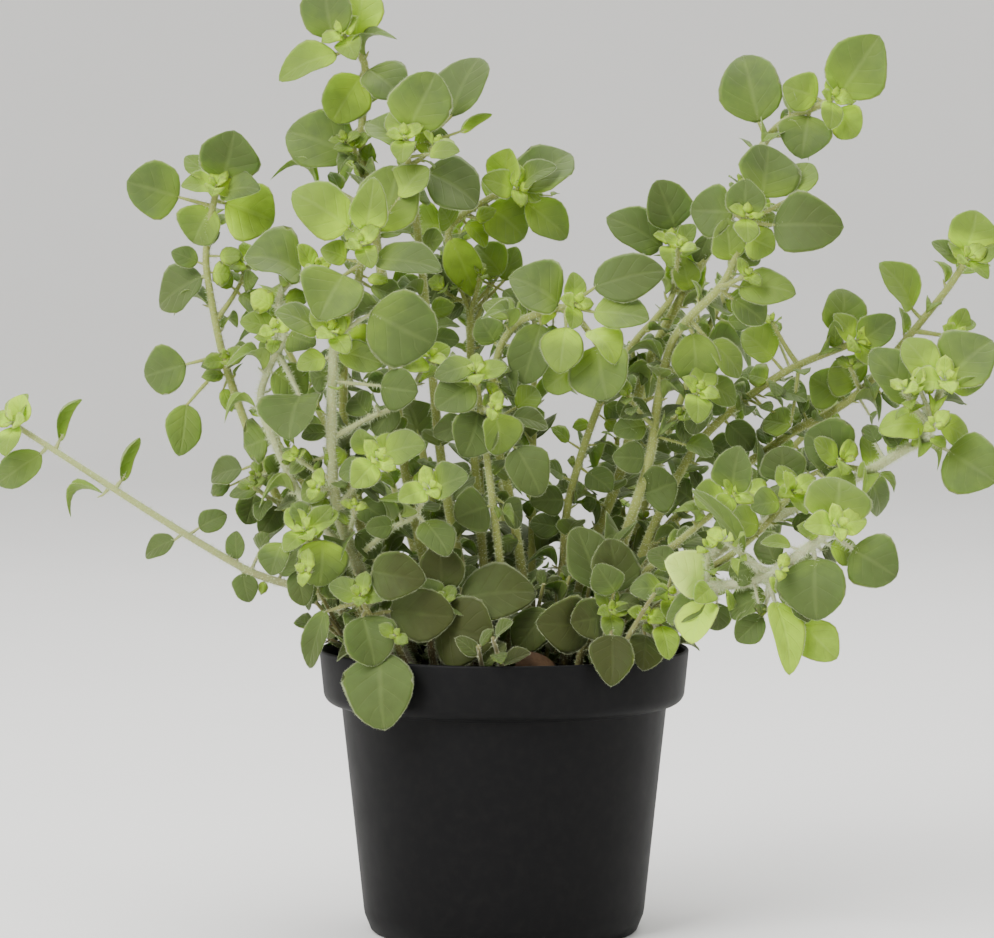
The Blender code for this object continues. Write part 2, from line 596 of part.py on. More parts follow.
def clear_route(stem, taken):
    """Moves a stem's route in depth until the stem stands clear of the stems placed before."""
    radius = stem["radius"] * MM
    best = None
    for shift in (0, 3, -3, 6, -6, 9, -9, 12, -12, 15, -15, 19, -19, 23, -23):
        places = [seen(x, z, spread(y, z) + shift * min(1, (i + 1) / 2))
                  for i, (x, z, y) in enumerate(stem["route"])]
        lines = [stem_line(stem["root"], thinned(places, ROUTE_TOLERANCE))]
        lines += [[seen(x, z, spread(y, z) + shift) for x, z, y in twig]
                  for twig in stem.get("twigs", ())]
        for twig in lines[1:]:
            twig[0] = nearest_on(lines[0], twig[0])[1] + Vector((0.1, 0.07, -0.05)) * MM
        gap = 1.0
        for line in lines:
            points = dense(line)
            for other, other_radius in taken:
                gap = min(gap, line_gap(points, other) - radius - other_radius)
        if best is None or gap > best[0]:
            best = (gap, lines)
        if gap > STEM_CLEARANCE:
            break
    return best[1]


def axis_points(lines):
    """Close points along a stem's lines, each with where it looks to be from the eye."""
    found = []
    for line in lines:
        for place in dense(line[1:], MM)[:-1]:
            place = Vector(place)
            found.append((EYE + (place - EYE) * (-EYE.y / (place.y - EYE.y)), place))
    return found


def stalk_cost(flat, base, way):
    """How well a leaf stalk from a point of the stem would lead into its blade: low is good."""
    stalk = base - flat
    reach = stalk.length
    return reach * 1.6 - stalk.dot(way) if reach > SESSILE_REACH else reach


def front_leaf(points, entry, chance, shift, shrink):
    """A leaf given as it looks from the eye, set on the stem where its stalk leads to it best."""
    base_x, base_z, tip_x, tip_z, width = entry[:5]
    behind, lean, edge_on = (tuple(entry[5:]) + (0, None, None)[len(entry) - 5:])[:3]
    flat_base = Vector((base_x, 0, base_z)) * MM
    span = Vector((tip_x, 0, tip_z)) * MM - flat_base
    chosen_lean = chance.uniform(-0.4, 0.3) * span.length / MM
    chosen_turn = chance.uniform(-28, 28)
    lean = chosen_lean if lean is None else lean
    turn = math.radians(chosen_turn if edge_on is None else edge_on)
    way = span.normalized()
    flat, root = min(points, key=lambda found: stalk_cost(found[0], flat_base, way))
    root = root + jitter(chance)
    reach = (flat_base - flat).length
    offset = (behind + shift) * MM
    most = reach + 0.5 * MM
    depth = (root.y + max(-most, min(most, 0.6 * offset))) / MM
    base = seen(base_x, base_z, depth)
    end = flat_base + span * shrink
    tip = seen(end.x / MM, end.z / MM, depth + lean + 0.8 * offset / MM)
    if reach < 1.5 * SESSILE_REACH:
        base = root + (tip - root).normalized() * SESSILE_REACH
    face = Matrix.Rotation(turn, 3, tip - base) @ Vector((0, -1, 0.45))
    wide = width * MM * shrink
    if edge_on is None:
        wide /= math.cos(turn)
    plain = span.length < SMALL_LEAF and reach < LONG_PETIOLE
    return Leaf(root, base, tip, face, wide, plain)


def place_leaf(owner, obstacles, choices, must_hide=False):
    """Takes the first choice that crosses nothing of another stem, and best none of its own."""
    spare = None
    for leaf in choices:
        points, faces = leaf.solid(CLEARANCE)
        if obstacles.meets(owner, points, faces, same_stem=False):
            continue
        if must_hide and not low_down(leaf) and not hidden(leaf, obstacles):
            continue
        if not obstacles.meets(owner, points, faces, same_stem=True):
            spare = leaf
            break
        spare = spare or leaf
    if spare:
        points, faces = spare.solid()
        obstacles.add(owner, points, faces, blade=True)
    return spare


def hidden(leaf, obstacles):
    """Whether other leaves hide nearly all of a leaf from the eye."""
    return sum(obstacles.hides(leaf.point(*at)) for at in HIDE_POINTS) >= len(HIDE_POINTS) - 1


def low_down(leaf):
    """Whether a leaf shows in the dense growth over the soil, where it needs nothing before it."""
    place = leaf.point(0.5, 0)
    flat = EYE + (place - EYE) * (-EYE.y / (place.y - EYE.y))
    return flat.z < LOW_GROWTH and abs(flat.x) < LOW_GROWTH_REACH


def front_choices(points, entry, seed):
    """The same leaf leaning further back or forward, and then smaller."""
    for shrink in (1.0, 0.9, 0.78, 0.64):
        for shift in (0, -2, 2, -4, 4, -6.5, 6.5, -9, 9):
            yield front_leaf(points, entry, random.Random(seed), shift, shrink)


def rule_leaf(line, share, angle, rise, length, width, stalk, offset):
    """A leaf that grows out of a line at a share of its way, at an angle round it."""
    spot = share * (len(line) - 1)
    index = min(int(spot), len(line) - 2)
    root = line[index].lerp(line[index + 1], spot - index) + offset
    axis = (line[index + 1] - line[index]).normalized()
    across = axis.cross(Vector((0.31, 1, 0.12))).normalized()
    out = Matrix.Rotation(angle, 3, axis) @ across
    way = (out + axis * rise).normalized()
    base = root + way * stalk
    tip = base + (way + Vector((0, 0, -0.12))).normalized() * length
    face = axis + Vector((0, 0, 0.9)) - out * 0.2
    return Leaf(root, base, tip, face, width, plain=True)


def rule_choices(line, share, angle, rise, length, stalk, offset):
    for shrink in (1.0, 0.85, 0.7):
        for turn in (0, 0.3, -0.3, 0.6, -0.6):
            for bend in (0, 0.35, -0.35):
                yield rule_leaf(line, share, angle + turn, rise + bend, length * shrink,
                                length * shrink * 0.82, stalk, offset)


def back_line(root, tip):
    """A back stem's axis: it rises from the soil and leans out in a slow curve."""
    end = seen(*tip)
    start = Vector((root[0] * MM, root[1] * MM, soil_height(root[0] * MM, root[1] * MM)))
    places = []
    for share in (0.16, 0.34, 0.54, 0.76, 1.0):
        out = share ** 1.35
        places.append(Vector((start.x + (end.x - start.x) * out, start.y + (end.y - start.y) * out,
                              start.z + (end.z - start.z) * share)))
    return places


def grow_back_stem(name, line, seed, obstacles):
    """Pairs of leaves, each pair turned a quarter from the last, and a close tip."""
    chance = random.Random(seed)
    length = sum((b - a).length for a, b in zip(line, line[1:]))
    pairs = max(3, round(length / NODE_SPACING))
    leaves = []
    first_turn = chance.uniform(0, math.pi)
    for pair in range(pairs + 1):
        share = 0.19 + 0.79 * pair / pairs
        size = BACK_LEAF * (0.75 + 0.35 * math.sin(math.pi * share)) * chance.uniform(0.88, 1.12)
        if pair == pairs:
            size *= 0.62
        for half in (0, 1):
            angle = first_turn + pair * math.pi / 2 + half * math.pi + chance.uniform(-0.2, 0.2)
            rise = 0.35 + 0.5 * share + chance.uniform(-0.15, 0.15)
            choices = rule_choices(line, share, angle, rise, size, RULE_STALK, jitter(chance))
            leaf = place_leaf(name, obstacles, choices, must_hide=True)
            if leaf:
                leaves.append(leaf)
    return leaves


def grow_fillers(name, line, seed, obstacles):
    """Leaves on the far side of a front stem, where others hide them from the eye."""
    chance = random.Random(seed)
    length = sum((b - a).length for a, b in zip(line, line[1:]))
    leaves = []
    count = int(length / FILLER_SPACING)
    for index in range(count):
        share = 0.16 + 0.72 * index / max(1, count)
        angle = chance.choice((0.5, 0.5, -0.5)) * math.pi + chance.uniform(-0.5, 0.5)
        size = chance.uniform(11, 15) * MM
        choices = rule_choices(line, share, angle, 0.45, size, RULE_STALK, jitter(chance))
        leaf = place_leaf(name, obstacles, choices, must_hide=True)
        if leaf:
            leaves.append(leaf)
    return leaves


def principled(name, colour, roughness, metallic=0.0):
    material = bpy.data.materials.new(name)
    material.use_nodes = True
    shader = material.node_tree.nodes["Principled BSDF"]
    shader.inputs["Base Color"].default_value = (*colour, 1)
    shader.inputs["Roughness"].default_value = roughness
    shader.inputs["Metallic"].default_value = metallic
    return material


def add_object(name, mesh, material, collection):
    item = bpy.data.objects.new(name, mesh)
    mesh.materials.clear()
    mesh.materials.append(material)
    collection.objects.link(item)
    return item


def add_collection(name):
    collection = bpy.data.collections.new(name)
    bpy.context.scene.collection.children.link(collection)
    return collection


def apply_boolean(item, operation, others, solver):
    """Cuts or joins an object with all of a collection, and keeps the result as its mesh."""
    modifier = item.modifiers.new("Boolean", "BOOLEAN")
    modifier.operation = operation
    modifier.operand_type = "COLLECTION"
    modifier.collection = others
    modifier.solver = solver
    evaluated = item.evaluated_get(bpy.context.evaluated_depsgraph_get())
    mesh = bpy.data.meshes.new_from_object(evaluated)
    item.modifiers.clear()
    item.data = mesh
    for other in list(others.objects):
        bpy.data.objects.remove(other)
    bpy.data.collections.remove(others)


def tidied(mesh, flat_angle, short_edge):
    """Welds a joined mesh, merges its flat faces, and gives the place of a fault or None."""
    shape = bmesh.new()
    shape.from_mesh(mesh)
    if short_edge:
        bmesh.ops.dissolve_degenerate(shape, dist=short_edge, edges=shape.edges)
    if flat_angle:
        bmesh.ops.dissolve_limit(shape, angle_limit=flat_angle, verts=shape.verts, edges=shape.edges)
    bmesh.ops.triangulate(shape, faces=shape.faces)
    bmesh.ops.remove_doubles(shape, verts=shape.verts, dist=WELD)
    faults = [(e.verts[0].co + e.verts[1].co) / 2 for e in shape.edges if not e.is_manifold]
    if not faults:
        shape.to_mesh(mesh)
    shape.free()
    return faults[0] if faults else None


def thinned(line, tolerance):
    """A line without the points that lie close to the straight way between their neighbours."""
    if len(line) < 3:
        return line
    start, end = line[0], line[-1]
    span = end - start
    gaps = [(p - start - span * ((p - start).dot(span) / span.length_squared)).length
            for p in line[1:-1]]
    worst = max(gaps)
    if worst < tolerance:
        return [start, end]
    cut = gaps.index(worst) + 1
    return thinned(line[:cut + 1], tolerance)[:-1] + thinned(line[cut:], tolerance)


def keep_largest(item):
    """Keeps the largest closed body of an object: drops loose scraps and fills sealed hollows."""
    shape = bmesh.new()
    shape.from_mesh(item.data)
    bmesh.ops.triangulate(shape, faces=shape.faces)
    left = set(shape.faces)
    bodies = []
    while left:
        body = set()
        ahead = [left.pop()]
        while ahead:
            face = ahead.pop()
            body.add(face)
            for edge in face.edges:
                for neighbour in edge.link_faces:
                    if neighbour in left:
                        left.discard(neighbour)
                        ahead.append(neighbour)
        bodies.append(body)
    bodies.sort(key=len)
    for body in bodies[:-1]:
        bmesh.ops.delete(shape, geom=list(body), context="FACES")
    shape.to_mesh(item.data)
    shape.free()


def turned_object(name, profile, material, collection):
    """Turns an outline of (radius, height) points round Z."""
    mesh = bpy.data.meshes.new(name)
    points = [(radius, 0, height) for radius, height in profile]
    mesh.from_pydata(points, [(i, i + 1) for i in range(len(points) - 1)], [])
    item = add_object(name, mesh, material, collection)
    screw = item.modifiers.new("Screw", "SCREW")
    screw.steps = POT_STEPS
    screw.render_steps = POT_STEPS
    screw.use_merge_vertices = True
    screw.merge_threshold = 0.00001
    evaluated = item.evaluated_get(bpy.context.evaluated_depsgraph_get())
    item.data = bpy.data.meshes.new_from_object(evaluated)
    item.modifiers.clear()
    return item


def shade_round(item, sharp_angle):
    item.data.shade_smooth()
    item.data.set_sharp_from_angle(angle=math.radians(sharp_angle))


def shoulder_height():
    return POT_HEIGHT - POT_RIM_HEIGHT


def pot_profile():
    """The pot's wall, down its outer side, across its base, and up its inner side."""
    rim_low = POT_RIM_RADIUS - POT_RIM_TAPER
    centre = (rim_low - POT_RIM_ROUNDING, shoulder_height() + POT_RIM_ROUNDING)
    outer = [(POT_RIM_RADIUS - POT_WALL / 2, POT_HEIGHT), (POT_RIM_RADIUS, POT_HEIGHT - 0.5 * MM)]
    for step in range(4):
        turn = math.radians(30 * step)
        outer.append((centre[0] + POT_RIM_ROUNDING * math.cos(turn),
                      centre[1] - POT_RIM_ROUNDING * math.sin(turn)))
    outer += [(POT_SHOULDER_RADIUS, shoulder_height()), (POT_FOOT_RADIUS, POT_FOOT_HEIGHT),
              (POT_BASE_RADIUS, 0), (0, 0)]
    inner_step = shoulder_height() + POT_WALL
    inner = [(0, POT_FLOOR), (POT_FOOT_RADIUS - POT_WALL - 1.0 * MM, POT_FLOOR),
             (POT_SHOULDER_RADIUS - POT_WALL, inner_step),
             (centre[0], inner_step), (rim_low - POT_WALL, centre[1]),
             (POT_RIM_RADIUS - POT_WALL, POT_HEIGHT - 0.5 * MM), outer[0]]
    return outer + inner


def soil_profile():
    """The soil's outline, down its outer side, clear of the pot by the gap all round."""
    rim_low = POT_RIM_RADIUS - POT_RIM_TAPER
    step = shoulder_height() + POT_WALL + GAP
    centre = rim_low - POT_RIM_ROUNDING
    edge = rim_low - POT_WALL - 2 * GAP
    return [(0, SOIL_CROWN), (edge / 2, (SOIL_CROWN + SOIL_EDGE) / 2), (edge, SOIL_EDGE),
            (edge, step + POT_RIM_ROUNDING), (centre - GAP, step),
            (POT_SHOULDER_RADIUS - POT_WALL - 2 * GAP, step),
            (POT_FOOT_RADIUS - POT_WALL - 1.0 * MM - 2 * GAP, POT_FLOOR + GAP), (0, POT_FLOOR + GAP)]


def add_cutter(name, mesh, cutters):
    cutter = bpy.data.objects.new(name, mesh)
    cutter.hide_render = True
    cutter.display_type = "WIRE"
    cutters.objects.link(cutter)
    return cutter


def prism_mesh(name, radius, height, sides):
    mesh = bpy.data.meshes.new(name)
    shape = bmesh.new()
    bmesh.ops.create_cone(shape, cap_ends=True, segments=sides, radius1=radius, radius2=radius,
                          depth=height)
    shape.to_mesh(mesh)
    shape.free()
    return mesh


def box_mesh(name, size):
    mesh = bpy.data.meshes.new(name)
    shape = bmesh.new()
    bmesh.ops.create_cube(shape, size=1, matrix=Matrix.Diagonal((*size, 1)))
    shape.to_mesh(mesh)
    shape.free()
    return mesh


def build_pot(collection):
    """The nursery pot, with drain holes in its floor and notches in its foot."""
    plastic = principled("black_plastic", (0.022, 0.022, 0.023), 0.48)
    pot = turned_object("pot", pot_profile(), plastic, collection)
    cutters = add_collection("pot_cutters")
    for i in range(DRAIN_HOLES):
        angle = 2 * math.pi * (i + 0.5) / DRAIN_HOLES
        shape = prism_mesh("drain", DRAIN_RADIUS, 5 * POT_FLOOR, DRAIN_SIDES)
        hole = add_cutter(f"drain_cutter_{i}", shape, cutters)
        hole.location = (DRAIN_RING * math.cos(angle), DRAIN_RING * math.sin(angle), 0)
    for i in range(FOOT_NOTCHES):
        angle = -math.pi / 2 + 2 * math.pi * i / FOOT_NOTCHES
        notch = add_cutter(f"notch_cutter_{i}", box_mesh("notch", NOTCH_SIZE), cutters)
        notch.location = (POT_BASE_RADIUS * math.cos(angle), POT_BASE_RADIUS * math.sin(angle), 0)
        notch.rotation_euler = (0, 0, angle + math.pi / 2)
    bpy.context.view_layer.update()
    apply_boolean(pot, "DIFFERENCE", cutters, "EXACT")
    shade_round(pot, 32)
    return pot


def build_soil(collection, holes):
    """The soil, with a plain blind hole for every stem."""
    earth = principled("potting_soil", (0.05, 0.032, 0.02), 0.95)
    soil = turned_object("soil", soil_profile(), earth, collection)
    cutters = add_collection("soil_cutters")
    for i, (x, y, radius) in enumerate(holes):
        deep = STEM_DEPTH + GAP
        wide = (radius + HOLE_GAP) / math.cos(math.pi / HOLE_SIDES)
        hole = add_cutter(f"hole_cutter_{i}", prism_mesh("hole", wide, 2 * deep, HOLE_SIDES), cutters)
        hole.location = (x, y, soil_height(x, y))
    bpy.context.view_layer.update()
    apply_boolean(soil, "DIFFERENCE", cutters, "EXACT")
    shade_round(soil, 32)
    return soil


def build_stem(name, tubes, leaves, material, collection):
    """One leafy stem: its twigs and leaves joined in one solid, less a leaf that spoils it."""
    stem = add_object(name, tubes[0], material, collection)
    for _ in range(MOST_TRIES):
        stem.data = tubes[0]
        repeats = add_collection(name + "_repeats")
        for i, mesh in enumerate(tubes[1:]):
            add_object(f"{name}_twig_{i}", mesh, material, repeats)
        for i, leaf in enumerate(leaves):
            add_object(f"{name}_leaf_{i}", leaf_mesh(f"{name}_leaf_{i}", leaf), material, repeats)
        bpy.context.view_layer.update()
        apply_boolean(stem, "UNION", repeats, "MANIFOLD")
        for flat_angle, short_edge in TIDY_WAYS:
            fault = tidied(stem.data, flat_angle, short_edge)
            if fault is None:
                break
        if fault is None:
            break
        leaves.remove(min(leaves, key=lambda leaf: leaf.distance(fault)))
    stem.data.materials.clear()
    stem.data.materials.append(material)
    keep_largest(stem)
    shade_round(stem, 40)
    return stem


def place_stems(obstacles):
    """Every stem's lines and tubes, each clear of the stems placed before it."""
    taken = []
    stems = {}
    for name, stem in STEMS.items():
        lines = clear_route(stem, taken)
        stems[name] = (lines, stem["radius"] * MM)
        taken += [(dense(line), stem["radius"] * MM) for line in lines]
    for name, (root, tip) in BACK_STEMS.items():
        stem = dict(root=root, radius=BACK_RADIUS / MM, route=())
        places = back_line(root, tip)
        line = stem_line(root, places)
        stems[name] = ([line], stem["radius"] * MM)
        taken.append((dense(line), BACK_RADIUS))
    tubes = {}
    for name, (lines, radius) in stems.items():
        tubes[name] = [tube_mesh(f"{name}_tube", lines[0], radius)]
        tubes[name] += [tube_mesh(f"{name}_twig", line, TWIG_RADIUS) for line in lines[1:]]
        for mesh in tubes[name]:
            obstacles.add(name, *mesh_lists(mesh))
    return stems, tubes


def place_leaves(stems, obstacles):
    """Every stem's leaves: those seen from the front first, then those that grow by rule."""
    leaves = {name: [] for name in stems}
    for name, stem in STEMS.items():
        points = axis_points(stems[name][0])
        for i, entry in enumerate(stem["leaves"]):
            if math.dist(entry[0:2], entry[2:4]) * MM < LEAST_LEAF:
                continue
            choices = front_choices(points, entry, f"{name} {i}")
            leaf = place_leaf(name, obstacles, choices)
            if leaf:
                leaves[name].append(leaf)
    for i, name in enumerate(BACK_STEMS):
        leaves[name] += grow_back_stem(name, stems[name][0][0], BACK_SEED + i, obstacles)
    for i, name in enumerate(STEMS):
        leaves[name] += grow_fillers(name, stems[name][0][0], FILLER_SEED + i, obstacles)
    return leaves


def clear_scene():
    for item in list(bpy.data.objects):
        bpy.data.objects.remove(item)


def main():
    clear_scene()
    collection = add_collection("potted_oregano")
    obstacles = Obstacles()
    pot = build_pot(collection)
    obstacles.add("pot", *mesh_lists(pot.data))
    stems, tubes = place_stems(obstacles)
    holes = [(line[0].x, line[0].y, radius) for (line, *_), radius in stems.values()]
    soil = build_soil(collection, holes)
    obstacles.add("soil", *mesh_lists(soil.data))
    leaves = place_leaves(stems, obstacles)
    green = principled("oregano_green", (0.27, 0.34, 0.09), 0.7)
    for name in stems:
        build_stem(name, tubes[name], leaves[name], green, collection)


main()
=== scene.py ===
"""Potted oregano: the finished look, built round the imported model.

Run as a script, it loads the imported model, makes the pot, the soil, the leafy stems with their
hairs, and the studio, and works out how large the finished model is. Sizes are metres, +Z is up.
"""

import functools
import math
import random
from contextlib import contextmanager

import bmesh
import bpy
import numpy as np
from bpy.props import FloatProperty, FloatVectorProperty, PointerProperty
from mathutils import Matrix, Vector, noise
from mathutils.bvhtree import BVHTree
from mathutils.geometry import interpolate_bezier


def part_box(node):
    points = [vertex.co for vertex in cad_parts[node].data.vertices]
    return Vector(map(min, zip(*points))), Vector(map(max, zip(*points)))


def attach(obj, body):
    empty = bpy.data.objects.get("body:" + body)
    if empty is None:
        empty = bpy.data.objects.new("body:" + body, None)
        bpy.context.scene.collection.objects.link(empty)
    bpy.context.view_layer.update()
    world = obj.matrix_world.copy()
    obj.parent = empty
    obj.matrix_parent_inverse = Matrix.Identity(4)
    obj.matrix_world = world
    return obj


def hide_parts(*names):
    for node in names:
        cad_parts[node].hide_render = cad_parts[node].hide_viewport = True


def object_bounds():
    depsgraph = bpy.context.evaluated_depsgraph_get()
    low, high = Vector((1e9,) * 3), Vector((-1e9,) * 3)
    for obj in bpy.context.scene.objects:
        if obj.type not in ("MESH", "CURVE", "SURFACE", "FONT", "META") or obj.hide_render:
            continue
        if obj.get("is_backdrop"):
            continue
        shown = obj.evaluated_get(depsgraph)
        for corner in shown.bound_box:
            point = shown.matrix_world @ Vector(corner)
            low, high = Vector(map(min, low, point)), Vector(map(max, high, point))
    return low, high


bl_info = {
    "name": "Potted Oregano Maker",
    "version": (1, 0, 0),
    "blender": (4, 5, 0),
    "location": "3D View > Sidebar > Oregano",
    "description": "Makes a potted oregano plant: pot, soil, leafy stems, hairs and a plain studio",
    "category": "Object",
}

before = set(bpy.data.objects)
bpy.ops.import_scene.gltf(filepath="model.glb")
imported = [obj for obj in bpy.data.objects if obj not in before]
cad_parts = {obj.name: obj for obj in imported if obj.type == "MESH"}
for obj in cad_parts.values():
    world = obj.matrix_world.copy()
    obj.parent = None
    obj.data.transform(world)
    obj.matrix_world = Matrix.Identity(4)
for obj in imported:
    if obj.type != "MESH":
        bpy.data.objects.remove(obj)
CAD_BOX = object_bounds()
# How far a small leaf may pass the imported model's box, as a share of its sides
SPARE_SHARE = 0.015
BOX_SPARE = [SPARE_SHARE * (high - low) for low, high in zip(*CAD_BOX)]
LOWEST = [low - spare for low, spare in zip(CAD_BOX[0], BOX_SPARE)]
HIGHEST = [high + spare for high, spare in zip(CAD_BOX[1], BOX_SPARE)]

MM = 0.001

# Pot: a thin moulded shell with a bell-shaped rim
POT_HEIGHT = 92 * MM
POT_RIM_RADIUS = 60 * MM
POT_RIM_HEIGHT = 18 * MM
POT_RIM_TAPER = 1.3 * MM
POT_RIM_ROUNDING = 4.5 * MM
POT_SHOULDER_RADIUS = 52.8 * MM
POT_FOOT_RADIUS = 45.6 * MM
POT_FOOT_HEIGHT = 6 * MM
POT_BASE_RADIUS = 43 * MM
POT_WALL = 1.4 * MM
POT_FLOOR = 2.0 * MM
DRAIN_HOLES = 6
DRAIN_RADIUS = 4.2 * MM
DRAIN_RING = 29 * MM
DRAIN_STEPS = 28
FOOT_NOTCHES = 3
NOTCH_SIZE = (17 * MM, 6 * MM, 2.4 * MM)
POT_STEPS = 144
POT_EDGE_ANGLE = math.radians(34)

# Soil: fills the pot, and each stem stands in a plain hole in it
GAP = 0.3 * MM
SOIL_EDGE = 84 * MM
SOIL_CROWN = 86 * MM
STEM_DEPTH = 7.5 * MM
SOIL_RINGS = 46
SOIL_STEPS = 180
CRUMB_SEED = 5

# Leaves and stems, as the solids have them
BLADE_THICKNESS = 0.7 * MM
PETIOLE_WIDTH = 1.3 * MM
PETIOLE_ROOT = 0.42
LONG_PETIOLE = 3.2 * MM
SESSILE_REACH = 1.7 * MM
BLADE_ARCH = 0.07
BLADE_FOLD = 0.13
RIB_MIDDLE = 0.42
LARGE_LEAF = 18.5 * MM
SMALL_LEAF = 10.5 * MM
LEAST_LEAF = 8.3 * MM
CLEARANCE = 0.45 * MM
STEM_CLEARANCE = 0.8 * MM
TIP_TAPER = 0.62
TWIG_RADIUS = 0.8 * MM
SQUARE_SPREAD = 1.15
JITTER = 0.22 * MM
# Where the table leaves it open: how far a leaf's tip leans back for its length, and how far the
# leaf is turned edge-on, in degrees
LEAN_RANGE = (-0.4, 0.3)
TURN_RANGE = (-28, 28)
# Places of a blade, along and across it, that tell whether other leaves hide it
HIDE_POINTS = ((1.0, 0.0), (0.45, 0.9), (0.45, -0.9), (0.5, 0.0))
# How low and how near the middle a leaf looks that needs nothing before it to hide it
LOW_GROWTH = 128 * MM
LOW_GROWTH_REACH = 50 * MM
RULE_STALK = 2.6 * MM
CURLED_FROM = math.radians(50)
# What is tried in turn until a stem or a leaf has room: shifts in depth, in millimetres, sizes,
# and for a leaf that grows by rule turns round its stem and bends up or down
ROUTE_SHIFTS = (0, 3, -3, 6, -6, 9, -9, 12, -12, 15, -15, 19, -19, 23, -23)
LEAF_SHIFTS = (0, -2, 2, -4, 4, -6.5, 6.5, -9, 9)
LEAF_SHRINKS = (1.0, 0.9, 0.78, 0.64)
RULE_SHRINKS = (1.0, 0.85, 0.7)
RULE_TURNS = (0, 0.3, -0.3, 0.6, -0.6)
RULE_BENDS = (0, 0.35, -0.35)
# Keeps a side branch's foot off the very middle of its stem
TWIG_OFFSET = Vector((0.1, 0.07, -0.05)) * MM
# A way that no stem runs along, to find a way across a stem
SKEW = Vector((0.31, 1, 0.12))

# How the stems spread in depth, away from one middle layer, from one height upwards
MIDDLE_LAYER = -13
SPREAD = 1.3
SPREAD_FROM = 105 * MM
SPREAD_HEIGHT = 160 * MM

# The eye that the tables of places below are seen from: how far it stands to the side, its distance
# from the pot's axis and its height. The camera stands there, and looks a little down. Its lens
# and sensor are given in millimetres.
EYE = Vector((-2.3 * MM, -1400 * MM, 232 * MM))
EYE_PITCH = math.radians(90 - 3.35)
LENS = 156.7
SENSOR = 36

# The studio, in metres: a flat floor that curves up into a round wall, and what the lights face
FLOOR_REACH = 2.4
WALL_CURVE = 1.4
LIT_PLACE = Vector((0, 0, 0.16))

# Half outlines of a solid's blade, as (how far along, how wide), from the base to the tip
OUTLINES = {
    "large": ((0.11, 0.78), (0.4, 1.06), (0.75, 0.8)),
    "medium": ((0.13, 0.9), (0.62, 1.0)),
    "small": ((0.4, 1.1),),
    "plain": ((0.22, 0.98), (0.66, 0.96)),
}

# Fine blades: rows along and columns across, for a grown leaf, a small one and a bud
FINE_ROWS = (0.0, 0.045, 0.12, 0.23, 0.36, 0.5, 0.64, 0.77, 0.88, 0.96, 1.0)
FINE_COLUMNS = (-1.0, -0.86, -0.58, -0.28, 0.0, 0.28, 0.58, 0.86, 1.0)
SMALL_ROWS = (0.0, 0.1, 0.3, 0.55, 0.8, 1.0)
SMALL_COLUMNS = (-1.0, -0.5, 0.0, 0.5, 1.0)
BUD_ROWS = (0.0, 0.12, 0.36, 0.68, 1.0)
BUD_COLUMNS = (-1.0, 0.0, 1.0)
# A leaf shorter than the first length has the small blade, and than the second the bud's
FINE_FROM = 8.5 * MM
SMALL_FROM = 5.4 * MM
# Half width of a fine blade at shares of its length, from the base to the tip
BLADE_HALF = (
    (0.0, 0.09), (0.03, 0.32), (0.08, 0.56), (0.16, 0.79), (0.28, 0.96), (0.4, 1.01),
    (0.54, 0.98), (0.68, 0.87), (0.8, 0.69), (0.9, 0.46), (0.96, 0.26), (1.0, 0.0))
# What each leaf's point tells the tree that bends the blades
LEAF_FIELDS = {"turn": "QUATERNION", "size": "FLOAT_VECTOR", "form": "FLOAT_VECTOR",
               "edge": "FLOAT_VECTOR", "kind": "INT", "tone": "FLOAT", "fresh": "FLOAT"}
STALK_RADIUS = 0.72 * MM
BLADE_SWELL = 1.11
STEM_STEP = 3.0 * MM

